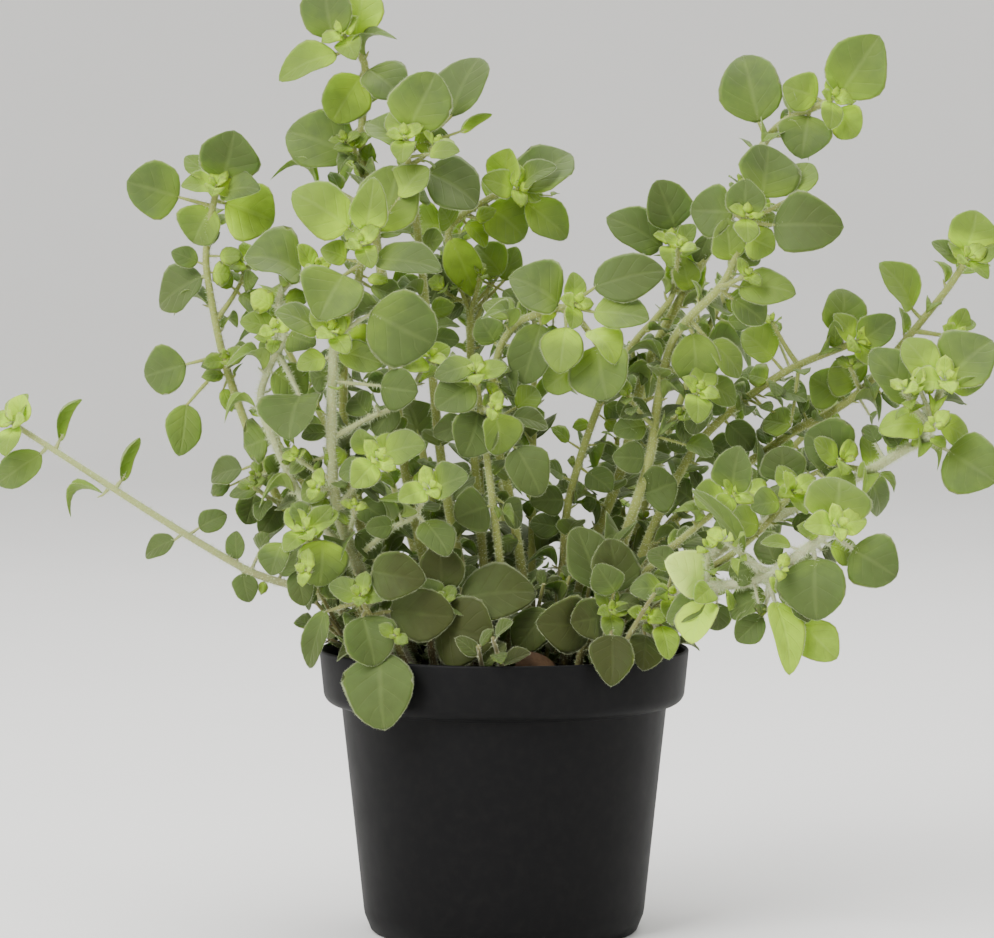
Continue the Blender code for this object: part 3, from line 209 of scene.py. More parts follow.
# Stems that show from the front. Places are millimetres as they look from the eye against an
# upright plane through the pot's axis: (across, up, depth), where depth grows away from the eye.
# root is the stem's real place in the soil. A leaf is (across and up of the blade's base, across
# and up of its tip, width, and then, where it matters, how far it stands behind its stem, how far
# its tip leans back, and how far it is turned edge-on, in degrees).
STEMS = {
    "stem_left_trailing": dict(
        root=(-43, -12), radius=1.25,
        route=(
            (-52, 103, -14), (-60, 109, -15), (-70, 113, -15), (-85, 118, -14), (-99, 127, -13),
            (-110, 134, -12), (-124, 142, -11), (-145, 156, -10), (-158, 164, -9)),
        leaves=(
            (-78, 114, -79, 109, 3), (-85, 116, -83, 106.5, 7.5), (-87, 121, -87, 130, 6),
            (-107, 127, -117, 122, 8), (-99, 131, -90, 135.5, 7.5),
            (-130, 142, -141, 135, 5, 0, 2, 62), (-124, 146, -117, 159.5, 5, 0, -2, 62),
            (-144, 159, -137, 173, 5, 0, -2, 62), (-150, 155, -165, 145, 9.5),
            (-157, 166, -156, 174, 8), (-158, 163, -166, 163, 7))),
    "stem_left_upright": dict(
        root=(-40, 3), radius=1.5,
        route=(
            (-52, 112, 1), (-64, 127, -1), (-71, 136, -2), (-76, 150, -3), (-83, 166, -3),
            (-89, 180, -4), (-92, 195, -4), (-96, 213, -5), (-96, 224, -6), (-93, 240, -7)),
        twigs=(
            ((-91, 199, -4), (-87, 207, -2), (-83, 215, 0)),),
        leaves=(
            (-105, 238, -122, 243, 16.5), (-91, 244, -87, 259, 17), (-95, 244, -103, 251, 8),
            (-95, 242, -102, 239, 7), (-91, 240, -79, 241, 10.5, -2), (-90, 236, -74, 230, 17, 3),
            (-95, 236, -101, 223, 14), (-98, 212, -112, 203, 16), (-99, 217, -107.5, 220.5, 6.5),
            (-96, 214, -88, 213, 7), (-92, 219, -84.5, 219, 5.5), (-84, 213, -89, 218, 5),
            (-103, 184, -117, 180, 13.5), (-103, 171, -105, 154.5, 10.5),
            (-90, 183, -82, 188.5, 8.5), (-91, 181, -98, 180, 5), (-91, 176, -88, 168.5, 5),
            (-85, 150, -95.5, 147, 11), (-81, 142, -84, 132, 9), (-73, 138, -79, 129, 8))),
    "stem_left_pale": dict(
        root=(-30, -15), radius=1.3,
        route=(
            (-48, 118, -18), (-65, 140, -19), (-75, 160, -19), (-79, 172, -19), (-76, 183, -19),
            (-71, 193, -18), (-73, 205, -17), (-69, 211, -17), (-62, 214, -17)),
        leaves=(
            (-64, 214, -83, 220, 20, -3), (-74, 195, -85.5, 198, 8.5), (-75, 203, -82, 207, 7),
            (-72, 204, -63, 206, 6), (-75, 182, -64, 174, 13, -3), (-66, 174, -70, 160, 18, -4),
            (-73, 161, -84.5, 157, 14), (-79, 190, -85, 192, 4), (-72, 192, -80, 188, 5))),
    "stem_centre_left": dict(
        root=(-36, -24), radius=1.9,
        route=(
            (-45, 112, -27), (-51, 128, -28), (-54, 137, -28), (-55, 150, -28), (-56, 160, -28),
            (-55, 180, -28), (-55, 193, -28)),
        twigs=(
            ((-54, 137, -28), (-48, 145, -32), (-42, 152, -35)),
            ((-48, 121, -28), (-36, 131, -33), (-29, 135, -36), (-25, 143, -38)),
            ((-55, 160, -28), (-45, 166, -27), (-33, 172, -25), (-25, 185, -23))),
        leaves=(
            (-60, 195, -73, 202, 11), (-55, 193, -52.5, 201, 7), (-43, 201, -22.5, 190, 20, -4),
            (-53, 188, -39, 184, 9), (-52, 193, -41, 191, 9, 2), (-58, 186, -67, 183, 7.5),
            (-39, 155, -25.5, 158, 11), (-44, 155, -47, 163, 7), (-43, 150, -54, 148.5, 7.5),
            (-53, 151, -57, 157.5, 7, 3), (-40, 151, -34, 152.5, 4.5), (-23, 143, -11.5, 148, 11),
            (-26, 144, -28, 149.5, 4.5), (-27, 142, -32.5, 145, 4.5),
            (-26, 133, -18, 122, 10.5, -2), (-47, 139, -38.5, 134, 8.5), (-48, 129, -40, 122, 9),
            (-40, 177, -28, 175, 11), (-34, 169, -42, 161, 9), (-62, 153, -70, 150, 8, 4),
            (-57, 146, -66, 141, 10, 5), (-58, 141, -61, 132, 7, 3))),
    "stem_centre_left_tall": dict(
        root=(-29, -4), radius=1.6,
        route=(
            (-36, 112, -8), (-46, 130, -12), (-51, 150, -14), (-52, 180, -16), (-50, 200, -19),
            (-47, 212, -21), (-46, 222, -23)),
        leaves=(
            (-50, 228, -68, 240, 16), (-45, 227, -42, 243.5, 10.5),
            (-42, 218, -20.5, 216, 12.5, -2), (-52, 213, -60, 199, 19, -3),
            (-51, 218, -59, 221.5, 8), (-40, 227, -34, 248.5, 18, 5), (-34, 238, -25, 248, 12, 9),
            (-44, 212, -37.5, 210.5, 5), (-43, 209, -33, 205, 8, 3))),
    "stem_top_left": dict(
        root=(-19, 7), radius=1.6,
        route=(
            (-24, 112, 7), (-32, 150, 6), (-38, 200, 3), (-43, 236, 0), (-46, 256, -2),
            (-46, 270, -3), (-45, 281, -4), (-51, 289, -5)),
        leaves=(
            (-55, 289, -58, 308, 15), (-48, 289, -45, 308, 13, 2), (-54, 284, -73, 276.5, 11),
            (-53, 288, -60, 288.5, 5), (-45, 280, -33, 270, 16), (-47, 277, -56, 262, 14.5, 4),
            (-49, 251, -70.5, 260, 19), (-45, 248, -43, 255.5, 5),
            (-60, 239, -75, 245, 5, 0, 3, 60), (-53, 240, -56, 246.5, 5))),
    "stem_top_centre": dict(
        root=(-9, -10), radius=1.5,
        route=(
            (-13, 112, -11), (-20, 150, -12), (-25, 200, -12), (-29, 235, -14), (-32, 256, -16)),
        leaves=(
            (-34, 255, -44, 263, 13), (-31, 260, -22, 278, 18), (-29, 255, -14.5, 258, 12, -3),
            (-17, 264, -8, 283, 17, 5), (-30, 274, -28, 280.5, 5, 6),
            (-14, 259, -3, 264, 4, 3, 2, 60), (-25, 246, -8, 236, 19.5, 4),
            (-24, 252, -14.5, 253, 6.5))),
    "stem_centre_top": dict(
        root=(-4, 6), radius=1.4,
        route=(
            (-6, 112, 5), (-9, 142, 3), (-10, 158, 2), (-11, 180, 2), (-11, 200, 1), (-14, 215, 0),
            (-18, 227, -2), (-12, 232, -3), (-4, 238, -4), (3, 240, -5)),
        leaves=(
            (0, 242, 1, 253.5, 10.5), (7, 240, 21, 253, 19), (6, 242, 16, 248.5, 8.5, -3),
            (7, 236, 21, 225, 12), (-5, 235, 7, 225, 16, -2), (-9, 231, -3, 234, 5, -3),
            (-13, 231, -5.5, 222.5, 6.5, -3), (-17, 220, -24.5, 203, 13, 4),
            (-17, 226, -9, 206, 11, 3), (-1, 213, -9, 223, 11, 5), (0, 211, 4, 222, 8, 6),
            (-2, 210, -6, 203, 7, 3), (0, 208, 6, 200, 8, 5), (-12, 204, -20, 198, 9),
            (-20, 229, -31.5, 229, 12, 2))),
    "stem_centre": dict(
        root=(9, -17), radius=1.5,
        route=(
            (6, 115, -17), (2, 140, -18), (-1, 152, -18), (-4, 168, -18), (-2, 187, -19),
            (4, 197, -20), (13, 201, -21), (22, 203, -22)),
        leaves=(
            (18, 204, 2.5, 213, 18), (29, 209, 52, 215, 14.5), (29, 201, 47, 199, 13, -3),
            (20, 196, 18, 181, 12.5, -3), (28, 195, 36.5, 185, 10.5, -4), (30, 190, 33, 172.5, 18),
            (12, 197, 6, 177.5, 13.5), (23, 183, 13, 176, 10, 3), (22, 205, 26, 210.5, 5),
            (17, 200, 12, 197, 4), (-3, 191, -8, 199, 9, 2))),
    "stem_centre_low": dict(
        root=(1, -26), radius=1.3,
        route=(
            (0, 108, -27), (-2, 125, -27), (-5, 142, -27), (-6, 157, -27), (-8, 170, -27),
            (-9, 180, -27)),
        leaves=(
            (-9, 170, -13, 154, 13), (-3, 168, -1, 154.5, 12), (3, 167, 14, 163.5, 8),
            (0, 169, 2, 176, 5), (4, 170, 12.5, 177.5, 10, 3), (4, 157, 12, 141.5, 13),
            (-4, 138, -16, 134, 13.5), (-10, 178, -22, 170, 13, 3), (-10, 184, -22.5, 180, 8),
            (-10, 181, -14.5, 175, 7), (0, 139, 6, 132, 9, 3), (-12, 165, -23, 161, 8, 4))),
    "stem_low_left": dict(
        root=(-38, -33), radius=1.2,
        route=(
            (-47, 105, -36), (-54, 113, -37), (-60, 121, -38), (-64, 129, -38)),
        leaves=(
            (-59, 127, -60, 111.5, 15, -3), (-72, 126, -76, 115.5, 9.5), (-67, 117, -65, 105.5, 8),
            (-61, 113, -64, 104, 3.5), (-56, 117, -54, 107.5, 8.5), (-64, 132, -69, 139, 8),
            (-63, 131, -56, 138, 6))),
    "base_left": dict(
        root=(-30, -40), radius=1.2,
        route=(
            (-38, 98, -44), (-44, 103, -46), (-46, 108, -47)),
        leaves=(
            (-40, 90, -39, 65, 20, -7, -1), (-46, 102, -42, 86, 16, -2, -2),
            (-58, 104, -64, 85, 8, 8, -2, 20), (-37, 104, -16, 102, 14.5, -2),
            (-43, 117, -25.5, 114, 12.5), (-47, 109, -53.5, 109, 5), (-45, 109, -39, 109, 5),
            (-46, 110, -46, 116, 5), (-37, 95, -31, 93, 6, 2))),
    "base_centre": dict(
        root=(-22, -36), radius=1.2,
        route=(
            (-24, 98, -41), (-20, 106, -43)),
        leaves=(
            (-24, 100, -3.5, 94, 20, -5, -3), (-14, 108, 10.5, 111, 18),
            (-20, 109, -21, 126, 13, 4))),
    "base_right": dict(
        root=(23, -33), radius=1.2,
        route=(
            (28, 97, -38), (34, 103, -41)),
        leaves=(
            (14, 104, 3.5, 91, 12, 3), (30, 98, 12, 100, 15, -3), (34, 103, 21.5, 100, 12, -6),
            (36, 110, 30, 119, 9, -4), (31, 111, 23, 131, 15, 6), (37, 110, 34, 127.5, 14),
            (35, 96, 35, 80.5, 12.5, -12, -2), (36, 106, 44.5, 106, 6.5))),
    "base_far_right": dict(
        root=(36, -28), radius=1.2,
        route=(
            (42, 98, -36), (48, 103, -40), (53, 108, -42)),
        leaves=(
            (46, 96, 45, 84.5, 9.5, -5), (51, 99, 53.5, 88, 7.5, -7), (49, 101, 46, 97, 4, -5),
            (52, 110.5, 41, 111, 9.5), (55, 118, 47, 124, 8, 2), (44, 117, 40, 122, 5))),
    "stem_front_right": dict(
        root=(41, -14), radius=1.75,
        route=(
            (52, 107, -32), (60, 111, -44), (68, 112, -52), (78, 113, -55), (88, 117, -58),
            (96, 122, -60), (103, 127, -61), (107, 131, -61)),
        leaves=(
            (66, 113, 52, 120, 14, -6), (66, 109, 53, 100, 8.5, -8), (66, 107, 61, 93, 11.5, -3),
            (88, 107, 94, 84, 10, -4), (101, 121, 101, 101, 19, 2), (97, 100, 108, 88, 11, -2),
            (85, 109, 73, 103, 11, 3), (84, 102, 75.5, 94, 9, 5), (83, 118, 72.5, 116, 9, 4),
            (78, 123, 60.5, 143, 7, -2, 2, 30), (93, 125, 83.5, 126.5, 4.5),
            (103, 129, 95, 131.5, 5), (104, 126, 104, 118.5, 5.5, -4), (107, 132, 109, 147.5, 19.5),
            (113, 124, 127.5, 115, 15.5, 3), (106, 125, 115, 121, 8), (94, 117, 92, 104, 7, 5))),
    "stem_right_low": dict(
        root=(29, -20), radius=1.2,
        route=(
            (42, 112, -28), (54, 124, -33), (66, 134, -37), (74, 141, -39)),
        leaves=(
            (73, 141, 61.5, 142, 9), (74, 143, 76, 157, 12), (75, 141, 78.5, 148, 5.5, -3),
            (74, 138, 71, 144, 5, -3))),
    "stem_right_low_outer": dict(
        root=(45, -24), radius=1.25,
        route=(
            (57, 112, -29), (72, 121, -34), (85, 132, -38), (93, 142, -40)),
        twigs=(
            ((89, 137, -39), (98, 147, -36), (108, 152, -33)),),
        leaves=(
            (91, 140, 80, 138, 9.5), (92, 143, 91, 149, 4.5), (94, 143, 98.5, 148.5, 5.5),
            (84, 131, 71, 134, 10, -3), (91, 146, 90, 157.5, 13.5, 5),
            (112, 154, 98, 161.5, 16.5, 4), (104, 147, 114, 142, 10, 4),
            (119, 150, 117, 162, 6.5, 8), (117, 149, 123, 134.5, 9.5, 6), (83, 141, 81, 147, 6, 4),
            (82, 150, 79, 155.5, 5.5, 6))),
    "stem_right_long": dict(
        root=(35, 4), radius=1.5,
        route=(
            (44, 120, 2), (55, 145, 0), (66, 162, -3), (75, 169, -5), (90, 181, -8), (100, 185, -9),
            (107, 188, -10), (113, 191, -11)),
        leaves=(
            (109, 193, 110, 209, 13.5), (115, 191, 126.5, 199, 10.5), (106, 189, 107, 198, 5),
            (112, 192, 113.5, 200.5, 6, -3), (87, 186, 77, 194.5, 13.5), (87, 179, 79, 181, 9.5),
            (89, 175, 98, 173, 9.5), (93, 164, 84, 166, 11, 4), (93, 166, 94, 171, 5, 4))),
    "stem_right_far": dict(
        root=(30, 15), radius=1.5,
        route=(
            (48, 125, 12), (68, 145, 8), (82, 154, 4), (95, 163, -1), (105, 168, -4),
            (115, 175, -6), (125, 186, -8), (132, 195, -9), (143, 208, -10), (149, 217, -11)),
        twigs=(
            ((132, 195, -9), (138, 194, -10), (144, 193, -11)),),
        leaves=(
            (149, 221, 153, 233.5, 15), (151, 219, 160, 223, 9), (150, 216, 157, 213, 7),
            (147, 218, 138, 223.5, 6.5), (146, 216, 142, 213, 5), (132, 202, 122, 217, 12.5),
            (144, 194, 152.5, 198, 7.5), (109, 174, 99, 180, 13), (115, 176, 107, 185, 13.5))),
    "stem_right_white": dict(
        root=(47, -9), radius=1.7,
        route=(
            (60, 115, -16), (84, 132, -22), (108, 144, -28), (121, 151, -32), (131, 157, -34),
            (136, 160, -34), (139, 167, -35), (142, 178, -36)),
        leaves=(
            (144, 178, 158, 192, 19), (139, 180, 130, 192.5, 11), (143, 180, 144.5, 187.5, 6, -3),
            (145, 176, 156, 179, 5.5, -4, 0, 40), (133, 172, 119, 189, 13.5),
            (138, 165, 121.5, 163.5, 11), (141, 165, 151.5, 159.5, 9.5, 3),
            (144, 156, 159, 146, 18), (140, 177, 135, 177, 4))),
    "stem_right_yellow": dict(
        root=(15, -8), radius=1.3,
        route=(
            (19, 118, -8), (21, 140, -8), (25, 152, -8), (32, 174, -7), (42, 191, -5),
            (50, 200, -4), (55, 208, -3), (54, 222, -3)),
        leaves=(
            (55, 228, 49, 243.5, 14.5), (51, 222, 33.5, 232, 14), (57, 222, 62, 229, 7),
            (59, 222, 59, 205, 12.5, 3), (60, 208, 57, 219, 8, -2), (27, 149, 35, 143, 9),
            (21, 159, 15.5, 164, 5), (29, 165, 22, 163.5, 4), (33, 166, 36, 162, 4.5),
            (24, 152, 20.5, 153, 3.5))),
    "stem_right_main": dict(
        root=(27, -9), radius=1.6,
        route=(
            (38, 124, -14), (43, 140, -16), (47, 153, -17), (50, 173, -18), (54, 190, -18),
            (59, 198, -19), (66, 205, -20), (72, 212, -21), (75, 222, -22), (78, 231, -23)),
        twigs=(
            ((49, 160, -18), (55, 166, -19), (62, 174, -20)),),
        leaves=(
            (76, 209, 94, 208, 12.5, -2), (74, 205, 84.5, 197.5, 11, 3),
            (72, 216, 71.5, 231, 10.5, -4), (78, 226, 87.5, 221, 9.5), (74, 217, 83, 218.5, 5),
            (61, 194, 62, 176.5, 14), (67, 191, 77, 180, 10, 4), (45, 142, 56, 146, 12.5),
            (46, 164, 35.5, 162.5, 8), (44, 172, 37, 167, 8, 3), (83, 238, 85, 254.5, 18, 3),
            (78, 232, 78, 243.5, 11.5, -3), (80, 229, 88.5, 233, 6.5, -3),
            (87, 229, 109, 229, 17.5), (74, 233, 60, 234, 14), (93, 238, 98.5, 249.5, 10.5, 6),
            (60, 172, 63.5, 161.5, 9.5), (65, 178, 76, 172, 9.5), (59, 158, 68, 155, 8, 2))),
    "stem_right_top": dict(
        root=(20, 9), radius=1.6,
        route=(
            (27, 120, 8), (38, 150, 6), (45, 180, 3), (52, 196, 0), (60, 210, -3), (68, 224, -5),
            (77, 240, -6), (83, 254, -7), (90, 262, -8), (97, 266, -9), (105, 269, -10)),
        leaves=(
            (82, 262, 77, 284.5, 18.5), (84, 257, 87, 260.5, 4), (108, 271, 121, 290, 18),
            (101, 270, 90, 274, 11), (99, 265, 96, 250.5, 15.5), (107, 266, 114, 257.5, 11),
            (103, 270, 101, 275, 5), (108, 267, 115, 266.5, 6), (66, 226, 62, 217, 6, 3))),
}

# Stems at the back, that grow by rule: real place in the soil, and the place of the tip
BACK_STEMS = {
    "back_left_low": ((-40, 15), (-74, 160, 48)),
    "back_left": ((-31, 22), (-76, 200, 50)),
    "back_left_tall": ((-17, 25), (-47, 246, 62)),
    "back_centre": ((-5, 34), (-14, 226, 76)),
    "back_centre_low": ((-22, 42), (-40, 156, 92)),
    "back_middle_low": ((4, 45), (-4, 166, 104)),
    "back_centre_right": ((9, 24), (10, 204, 48)),
    "back_right": ((24, 30), (58, 208, 74)),
    "back_right_tall": ((34, 26), (82, 232, 58)),
    "back_right_low": ((28, 43), (48, 142, 94)),
    "back_right_outer": ((43, 12), (104, 168, 42)),
}
BACK_RADIUS = 1.3 * MM
BACK_SHARES = (0.16, 0.34, 0.54, 0.76, 1.0)
BACK_SEED = 3
FILLER_SEED = 103
NODE_SPACING = 40 * MM
FILLER_SPACING = 60 * MM
BACK_LEAF = 17 * MM
ROUTE_TOLERANCE = 0.9 * MM

# Where the plant looks dense and where it lets light through: (across, up, radius) in millimetres
BUSHY = ((-51, 172, 16), (-21, 134, 26), (-56, 137, 15), (28, 140, 19), (47, 160, 15),
         (-66, 198, 11), (-72, 126, 10), (73, 166, 19), (60, 134, 16), (96, 163, 19), (93, 121, 21),
         (118, 127, 15), (133, 166, 18), (76, 198, 16), (60, 208, 11), (-24, 232, 15),
         (-21, 263, 11), (-11, 205, 15), (13, 195, 8), (-1, 176, 10), (17, 245, 6), (-87, 236, 10),
         (-85, 213, 8), (-89, 147, 8), (60, 108, 13), (-43, 108, 16), (88, 95, 10), (13, 113, 11),
         (-11, 106, 13), (44, 104, 11))
OPEN = ((-25, 164, 12), (22, 164, 10), (39, 200, 8), (-81, 176, 6), (93, 189, 5), (112, 168, 5),
        (18, 134, 4), (50, 172, 5), (71, 193, 6), (96, 193, 8), (54, 151, 5), (-82, 130, 5),
        (130, 135, 6), (138, 217, 4), (149, 206, 6), (123, 203, 4), (-72, 240, 4), (133, 149, 7),
        (123, 134, 5))
# How the dense places are filled: how close the leaves stand, how far from a stem they may, and
# the depths behind it that are tried in turn, in millimetres
FILL_STEP = 2.9 * MM
FILL_REACH = 20 * MM
FILL_DEPTHS = (0, 4, -4, 8, -7, 12, 16)
FILL_SEED = 77
# The short shoots that cover the soil: how many, and how far from the middle
UNDERGROWTH_SHOOTS = 34
UNDERGROWTH_REACH = 50 * MM
UNDERGROWTH_RADIUS = 0.9 * MM
UNDERGROWTH_SEED = 41
# How hairy the stems are against the front ones
UNDERGROWTH_HAIRS = 0.3
BACK_HAIRS = 0.25
# The leaf pairs of a growing tip, from its foot up: length in millimetres, lean, height up the tip
ROSETTE = ((10.0, 0.22, 0.6), (7.2, 0.5, 1.8), (4.0, 0.85, 2.6))
TINY_CLEARANCE = 0.1 * MM
SHOOT_CLEARANCE = 1.6 * MM
# A side shoot longer than this has two pairs of leaves
LONG_SHOOT = 13 * MM
# A leaf longer than this has something growing where it meets the stem
AXIL_FROM = 9 * MM
# How far down a stem the freshness of its tip reaches
TIP_REACH = 26 * MM
# How far up a stem its pairs of small leaves begin, and how far below its tip they end
PAIRS_FROM = 18 * MM
PAIRS_SHORT = 4 * MM
LEAF_RIPPLES = 9.0
# The dry leaf stands on its edge between the rim and the front stems
DRY_LEAF_BASE = Vector((3, -48, 88)) * MM
DRY_LEAF_SPAN = Vector((13, 1.5, 4)) * MM
DRY_LEAF_WIDTH = 9 * MM
DRY_LEAF_RIPPLES = 14.0
DRY_LEAF_SEED = 9

# Painted shade: leaves are darker the lower they are, from a height and over a depth below it
SHADE_BELOW = 150 * MM
SHADE_DEPTH = 50 * MM
# Stems whose leaves catch more light than the others, or less: painted light and shade raise or lower
# their leaves' tone, and a stem that catches more light is painted paler and grows longer, denser hairs
LIGHT_STEMS = {"stem_front_right": 0.3, "stem_right_white": 0.22, "stem_left_pale": 0.24,
               "stem_centre_left": 0.16, "base_left": -0.12, "base_centre": -0.2,
               "base_right": -0.12, "base_far_right": -0.06, "stem_left_trailing": 0.08}
# The stem that trails to the left has no side shoots, and its leaves curl
BARE_STEM = "stem_left_trailing"
# How near a leaf has to look to a place of the tables below, in millimetres
SUNLIT_REACH = 4
TONE_REACH = 2.5
# Painted light and shade: leaves whose tone is set outright, high where the light strikes them and low
# where they stand in shade: (across, up) in millimetres, and their tone
SUNLIT = ((59, 116, 1.4), (64, 104, 1.04), (88, 96, 0.85), (102, 94, 0.75), (66, 130, 0.75),
          (-53, 294, 0.75), (-46, 298, 0.8), (-64, 280, 0.6), (0, 248, 0.8), (14, 246, 0.4),
          (52, 94, 0.7), (-39, 79, 0.28), (-45, 95, 0.28))
# Painted light and shade: leaves that look lighter or darker than their neighbours for the light that
# falls on them, which are painted so: (across, up) in millimetres
LIGHTER = ((104, 177), (111, 180), (-9, 227), (59, 214), (-46, 192), (72, 224), (-44, 235),
           (146, 162), (134, 186), (-52, 270), (-61, 94), (-59, 234), (-104, 163), (151, 227),
           (-60, 119), (127, 210), (78, 132), (46, 111), (19, 188), (-26, 229), (62, 185),
           (-82, 233), (32, 190), (-5, 218), (2, 216), (1, 230), (110, 262), (93, 110), (130, 164),
           (85, 208), (82, 190), (72, 186), (-13, 216))
DARKER = ((-33, 196), (62, 167), (-16, 174), (35, 88), (42, 227), (-38, 165), (90, 152), (78, 238),
          (40, 212), (-66, 111), (-105, 208), (8, 149), (-11, 162), (8, 165), (-18, 163), (67, 234),
          (98, 229), (120, 120), (52, 236), (-12, 274), (-34, 176), (-48, 149), (105, 158))
# How much the tone is raised where light is painted, and lowered where shade is painted
TONE_STEP = 0.26
TONE_STEPS = ((LIGHTER, TONE_STEP), (DARKER, -0.75 * TONE_STEP))


class Leaf:
    """One leaf: its root on the stem's axis, its blade's base and tip, its face and its width."""

    def __init__(self, root, base, tip, face, width, plain=False):
        self.root = root
        self.base = base
        self.tip = tip
        self.width = width
        self.plain = plain
        self.along = (tip - base).normalized()
        self.face = (face - face.dot(self.along) * self.along).normalized()
        self.side = self.along.cross(self.face)
        self.length = (tip - base).length
        self.curled = False
        self.tone = 0.0
        self.fresh = 0.0

    def kind(self):
        """Which of the solids' outlines the leaf has."""
        if self.plain:
            return "plain"
        if self.length > LARGE_LEAF:
            return "large"
        return "medium" if self.length > SMALL_LEAF else "small"

    def point(self, along, across):
        """A place on the blade's middle surface, arched along and folded at the rib."""
        arch = BLADE_ARCH * self.length * 4 * along * (1 - along)
        fold = BLADE_FOLD * self.width * abs(across)
        place = self.base + self.along * (self.length * along)
        return place + self.side * (self.width * across / 2) + self.face * (arch + fold)

    def outline(self, grow=0.0):
        """The closed outline on the middle surface, from the root round to the root."""
        half = PETIOLE_WIDTH / self.width
        swell = 1 + 2 * grow / self.width
        right = [] if self.plain else [self.point(0, half * swell)]
        left = [] if self.plain else [self.point(0, -half * swell)]
        for along, wide in OUTLINES[self.kind()]:
            right.append(self.point(along, wide * swell))
            left.append(self.point(along, -wide * swell))
        tip = self.point(1, 0) + self.along * grow
        root = [self.root]
        if self.has_petiole():
            out = self.side * (PETIOLE_WIDTH * PETIOLE_ROOT)
            root = [self.root - out, self.root + out]
        return root + right + [tip] + left[::-1]

    def has_petiole(self):
        """Whether a stalk shows between the stem and the blade."""
        return (self.base - self.root).length > LONG_PETIOLE and not self.plain

    def upper_triangles(self, count, roots):
        """The triangles of one face of an outline: round the rib of a large blade, else in rows."""
        if roots == 1:
            found = [(0, 1, count - 1)]
        else:
            found = [(0, 1, roots), (0, roots, count - 1)]
        if self.kind() == "large":
            found += [(i, i + 1, count) for i in range(roots, count - 1)]
            found.append((count - 1, roots, count))
            return found
        rows = (count - roots - 1) // 2
        for row in range(rows - 1):
            right, left = roots + row, count - 1 - row
            found += [(right, right + 1, left - 1), (right, left - 1, left)]
        tip = roots + rows
        found.append((tip - 1, tip, tip + 1))
        return found

    def solid(self, grow=0.0):
        """The leaf's slab: its points and triangles, split alike on both faces."""
        middle = self.outline(grow)
        count = len(middle)
        roots = 2 if self.has_petiole() else 1
        top = self.upper_triangles(count, roots)
        if self.kind() == "large":
            middle.append(self.point(RIB_MIDDLE, 0))
        lift = self.face * (BLADE_THICKNESS / 2 + grow)
        points = [p + lift for p in middle] + [p - lift for p in middle]
        low = len(middle)
        faces = top + [(c + low, b + low, a + low) for a, b, c in top]
        for i in range(count):
            j = (i + 1) % count
            faces += [(i, i + low, j + low), (i, j + low, j)]
        return points, faces


class Obstacles:
    """What the stems and leaves keep clear of, and what hides a leaf from the eye."""

    def __init__(self):
        self.solids = []
        self.shapes = []

    def add(self, owner, points, faces, blade=False):
        """Takes in a solid of a stem, with the box it lies in."""
        self.shapes.append((points, faces))
        tree = BVHTree.FromPolygons(points, faces)
        low, high = corners(points)
        self.solids.append((owner, blade, low, high, tree))

    def meets(self, owner, points, faces, same_stem):
        """Whether a solid crosses another stem's solids or, if asked, its own stem's blades."""
        tree = BVHTree.FromPolygons(points, faces)
        low, high = corners(points)
        for other, blade, other_low, other_high, other_tree in self.solids:
            if (other == owner) != same_stem or (same_stem and not blade):
                continue
            if any(low[i] > other_high[i] or high[i] < other_low[i] for i in range(3)):
                continue
            if tree.overlap(other_tree):
                return True
        return False

    def whole(self):
        """One search tree of all the solids so far."""
        points, faces = [], []
        for more_points, more_faces in self.shapes:
            faces += [tuple(i + len(points) for i in face) for face in more_faces]
            points += more_points
        return BVHTree.FromPolygons(points, faces)

    def near(self, owner, place, distance):
        """Whether a place is nearer than a distance to another stem's solids."""
        for other, _, low, high, tree in self.solids:
            if other == owner or any(place[i] < low[i] - distance or place[i] > high[i] + distance
                                     for i in range(3)):
                continue
            if tree.find_nearest(place, distance)[0] is not None:
                return True
        return False

    def hides(self, place):
        """Whether something stands between the eye and a place."""
        ray = place - EYE
        reach = ray.length - 2 * MM
        for _, _, low, high, tree in self.solids:
            if low[1] > place.y:
                continue
            if tree.ray_cast(EYE, ray.normalized(), reach)[0] is not None:
                return True
        return False


def corners(points):
    """The box that points lie in."""
    low = [min(p[i] for p in points) for i in range(3)]
    high = [max(p[i] for p in points) for i in range(3)]
    return low, high


def seen(across, up, depth):
    """The real place of a point given as it looks from the eye, with its depth."""
    plane = Vector((across * MM, 0, up * MM))
    return EYE + (plane - EYE) * ((depth * MM - EYE.y) / -EYE.y)


def flat_place(place):
    """Where a place looks to be from the eye, in the upright plane through the pot's axis."""
    return EYE + (place - EYE) * (-EYE.y / (place.y - EYE.y))


def close_to(flat, x, z, reach):
    """Whether a place of that plane lies within a reach, in millimetres, of a point of it."""
    return math.hypot(flat.x - x * MM, flat.z - z * MM) < reach * MM


def spread(depth, up):
    """A stem's depth, further from the bush's middle layer the higher it is."""
    share = min(max((up * MM - SPREAD_FROM) / SPREAD_HEIGHT, 0), 1)
    return MIDDLE_LAYER + (depth - MIDDLE_LAYER) * (1 + SPREAD * share)


def jitter(chance):
    """A small random step, so that no two leaves start at the very same point."""
    return Vector([chance.uniform(-JITTER, JITTER) for _ in range(3)])


def soil_height(x, y):
    """The crowned soil's height at a place."""
    share = min(1.0, math.hypot(x, y) / (POT_RIM_RADIUS - POT_WALL))
    return SOIL_CROWN + (SOIL_EDGE - SOIL_CROWN) * share


def stem_line(root, places):
    """The stem's axis: upright in its hole, then along its route."""
    x, y = root[0] * MM, root[1] * MM
    top = soil_height(x, y)
    return [Vector((x, y, top - STEM_DEPTH)), Vector((x, y, top + 2.5 * MM))] + places


def dense(line, step=1.5 * MM):
    """Points along a line at close, even steps."""
    found = []
    for start, end in zip(line, line[1:]):
        count = max(1, int((end - start).length / step))
        found += [start.lerp(end, i / count) for i in range(count)]
    return np.array([tuple(p) for p in found + [line[-1]]])


def line_gap(first, second):
    """The least distance between two lines given by close points."""
    return np.sqrt(((first[:, None, :] - second[None, :, :]) ** 2).sum(axis=2).min())


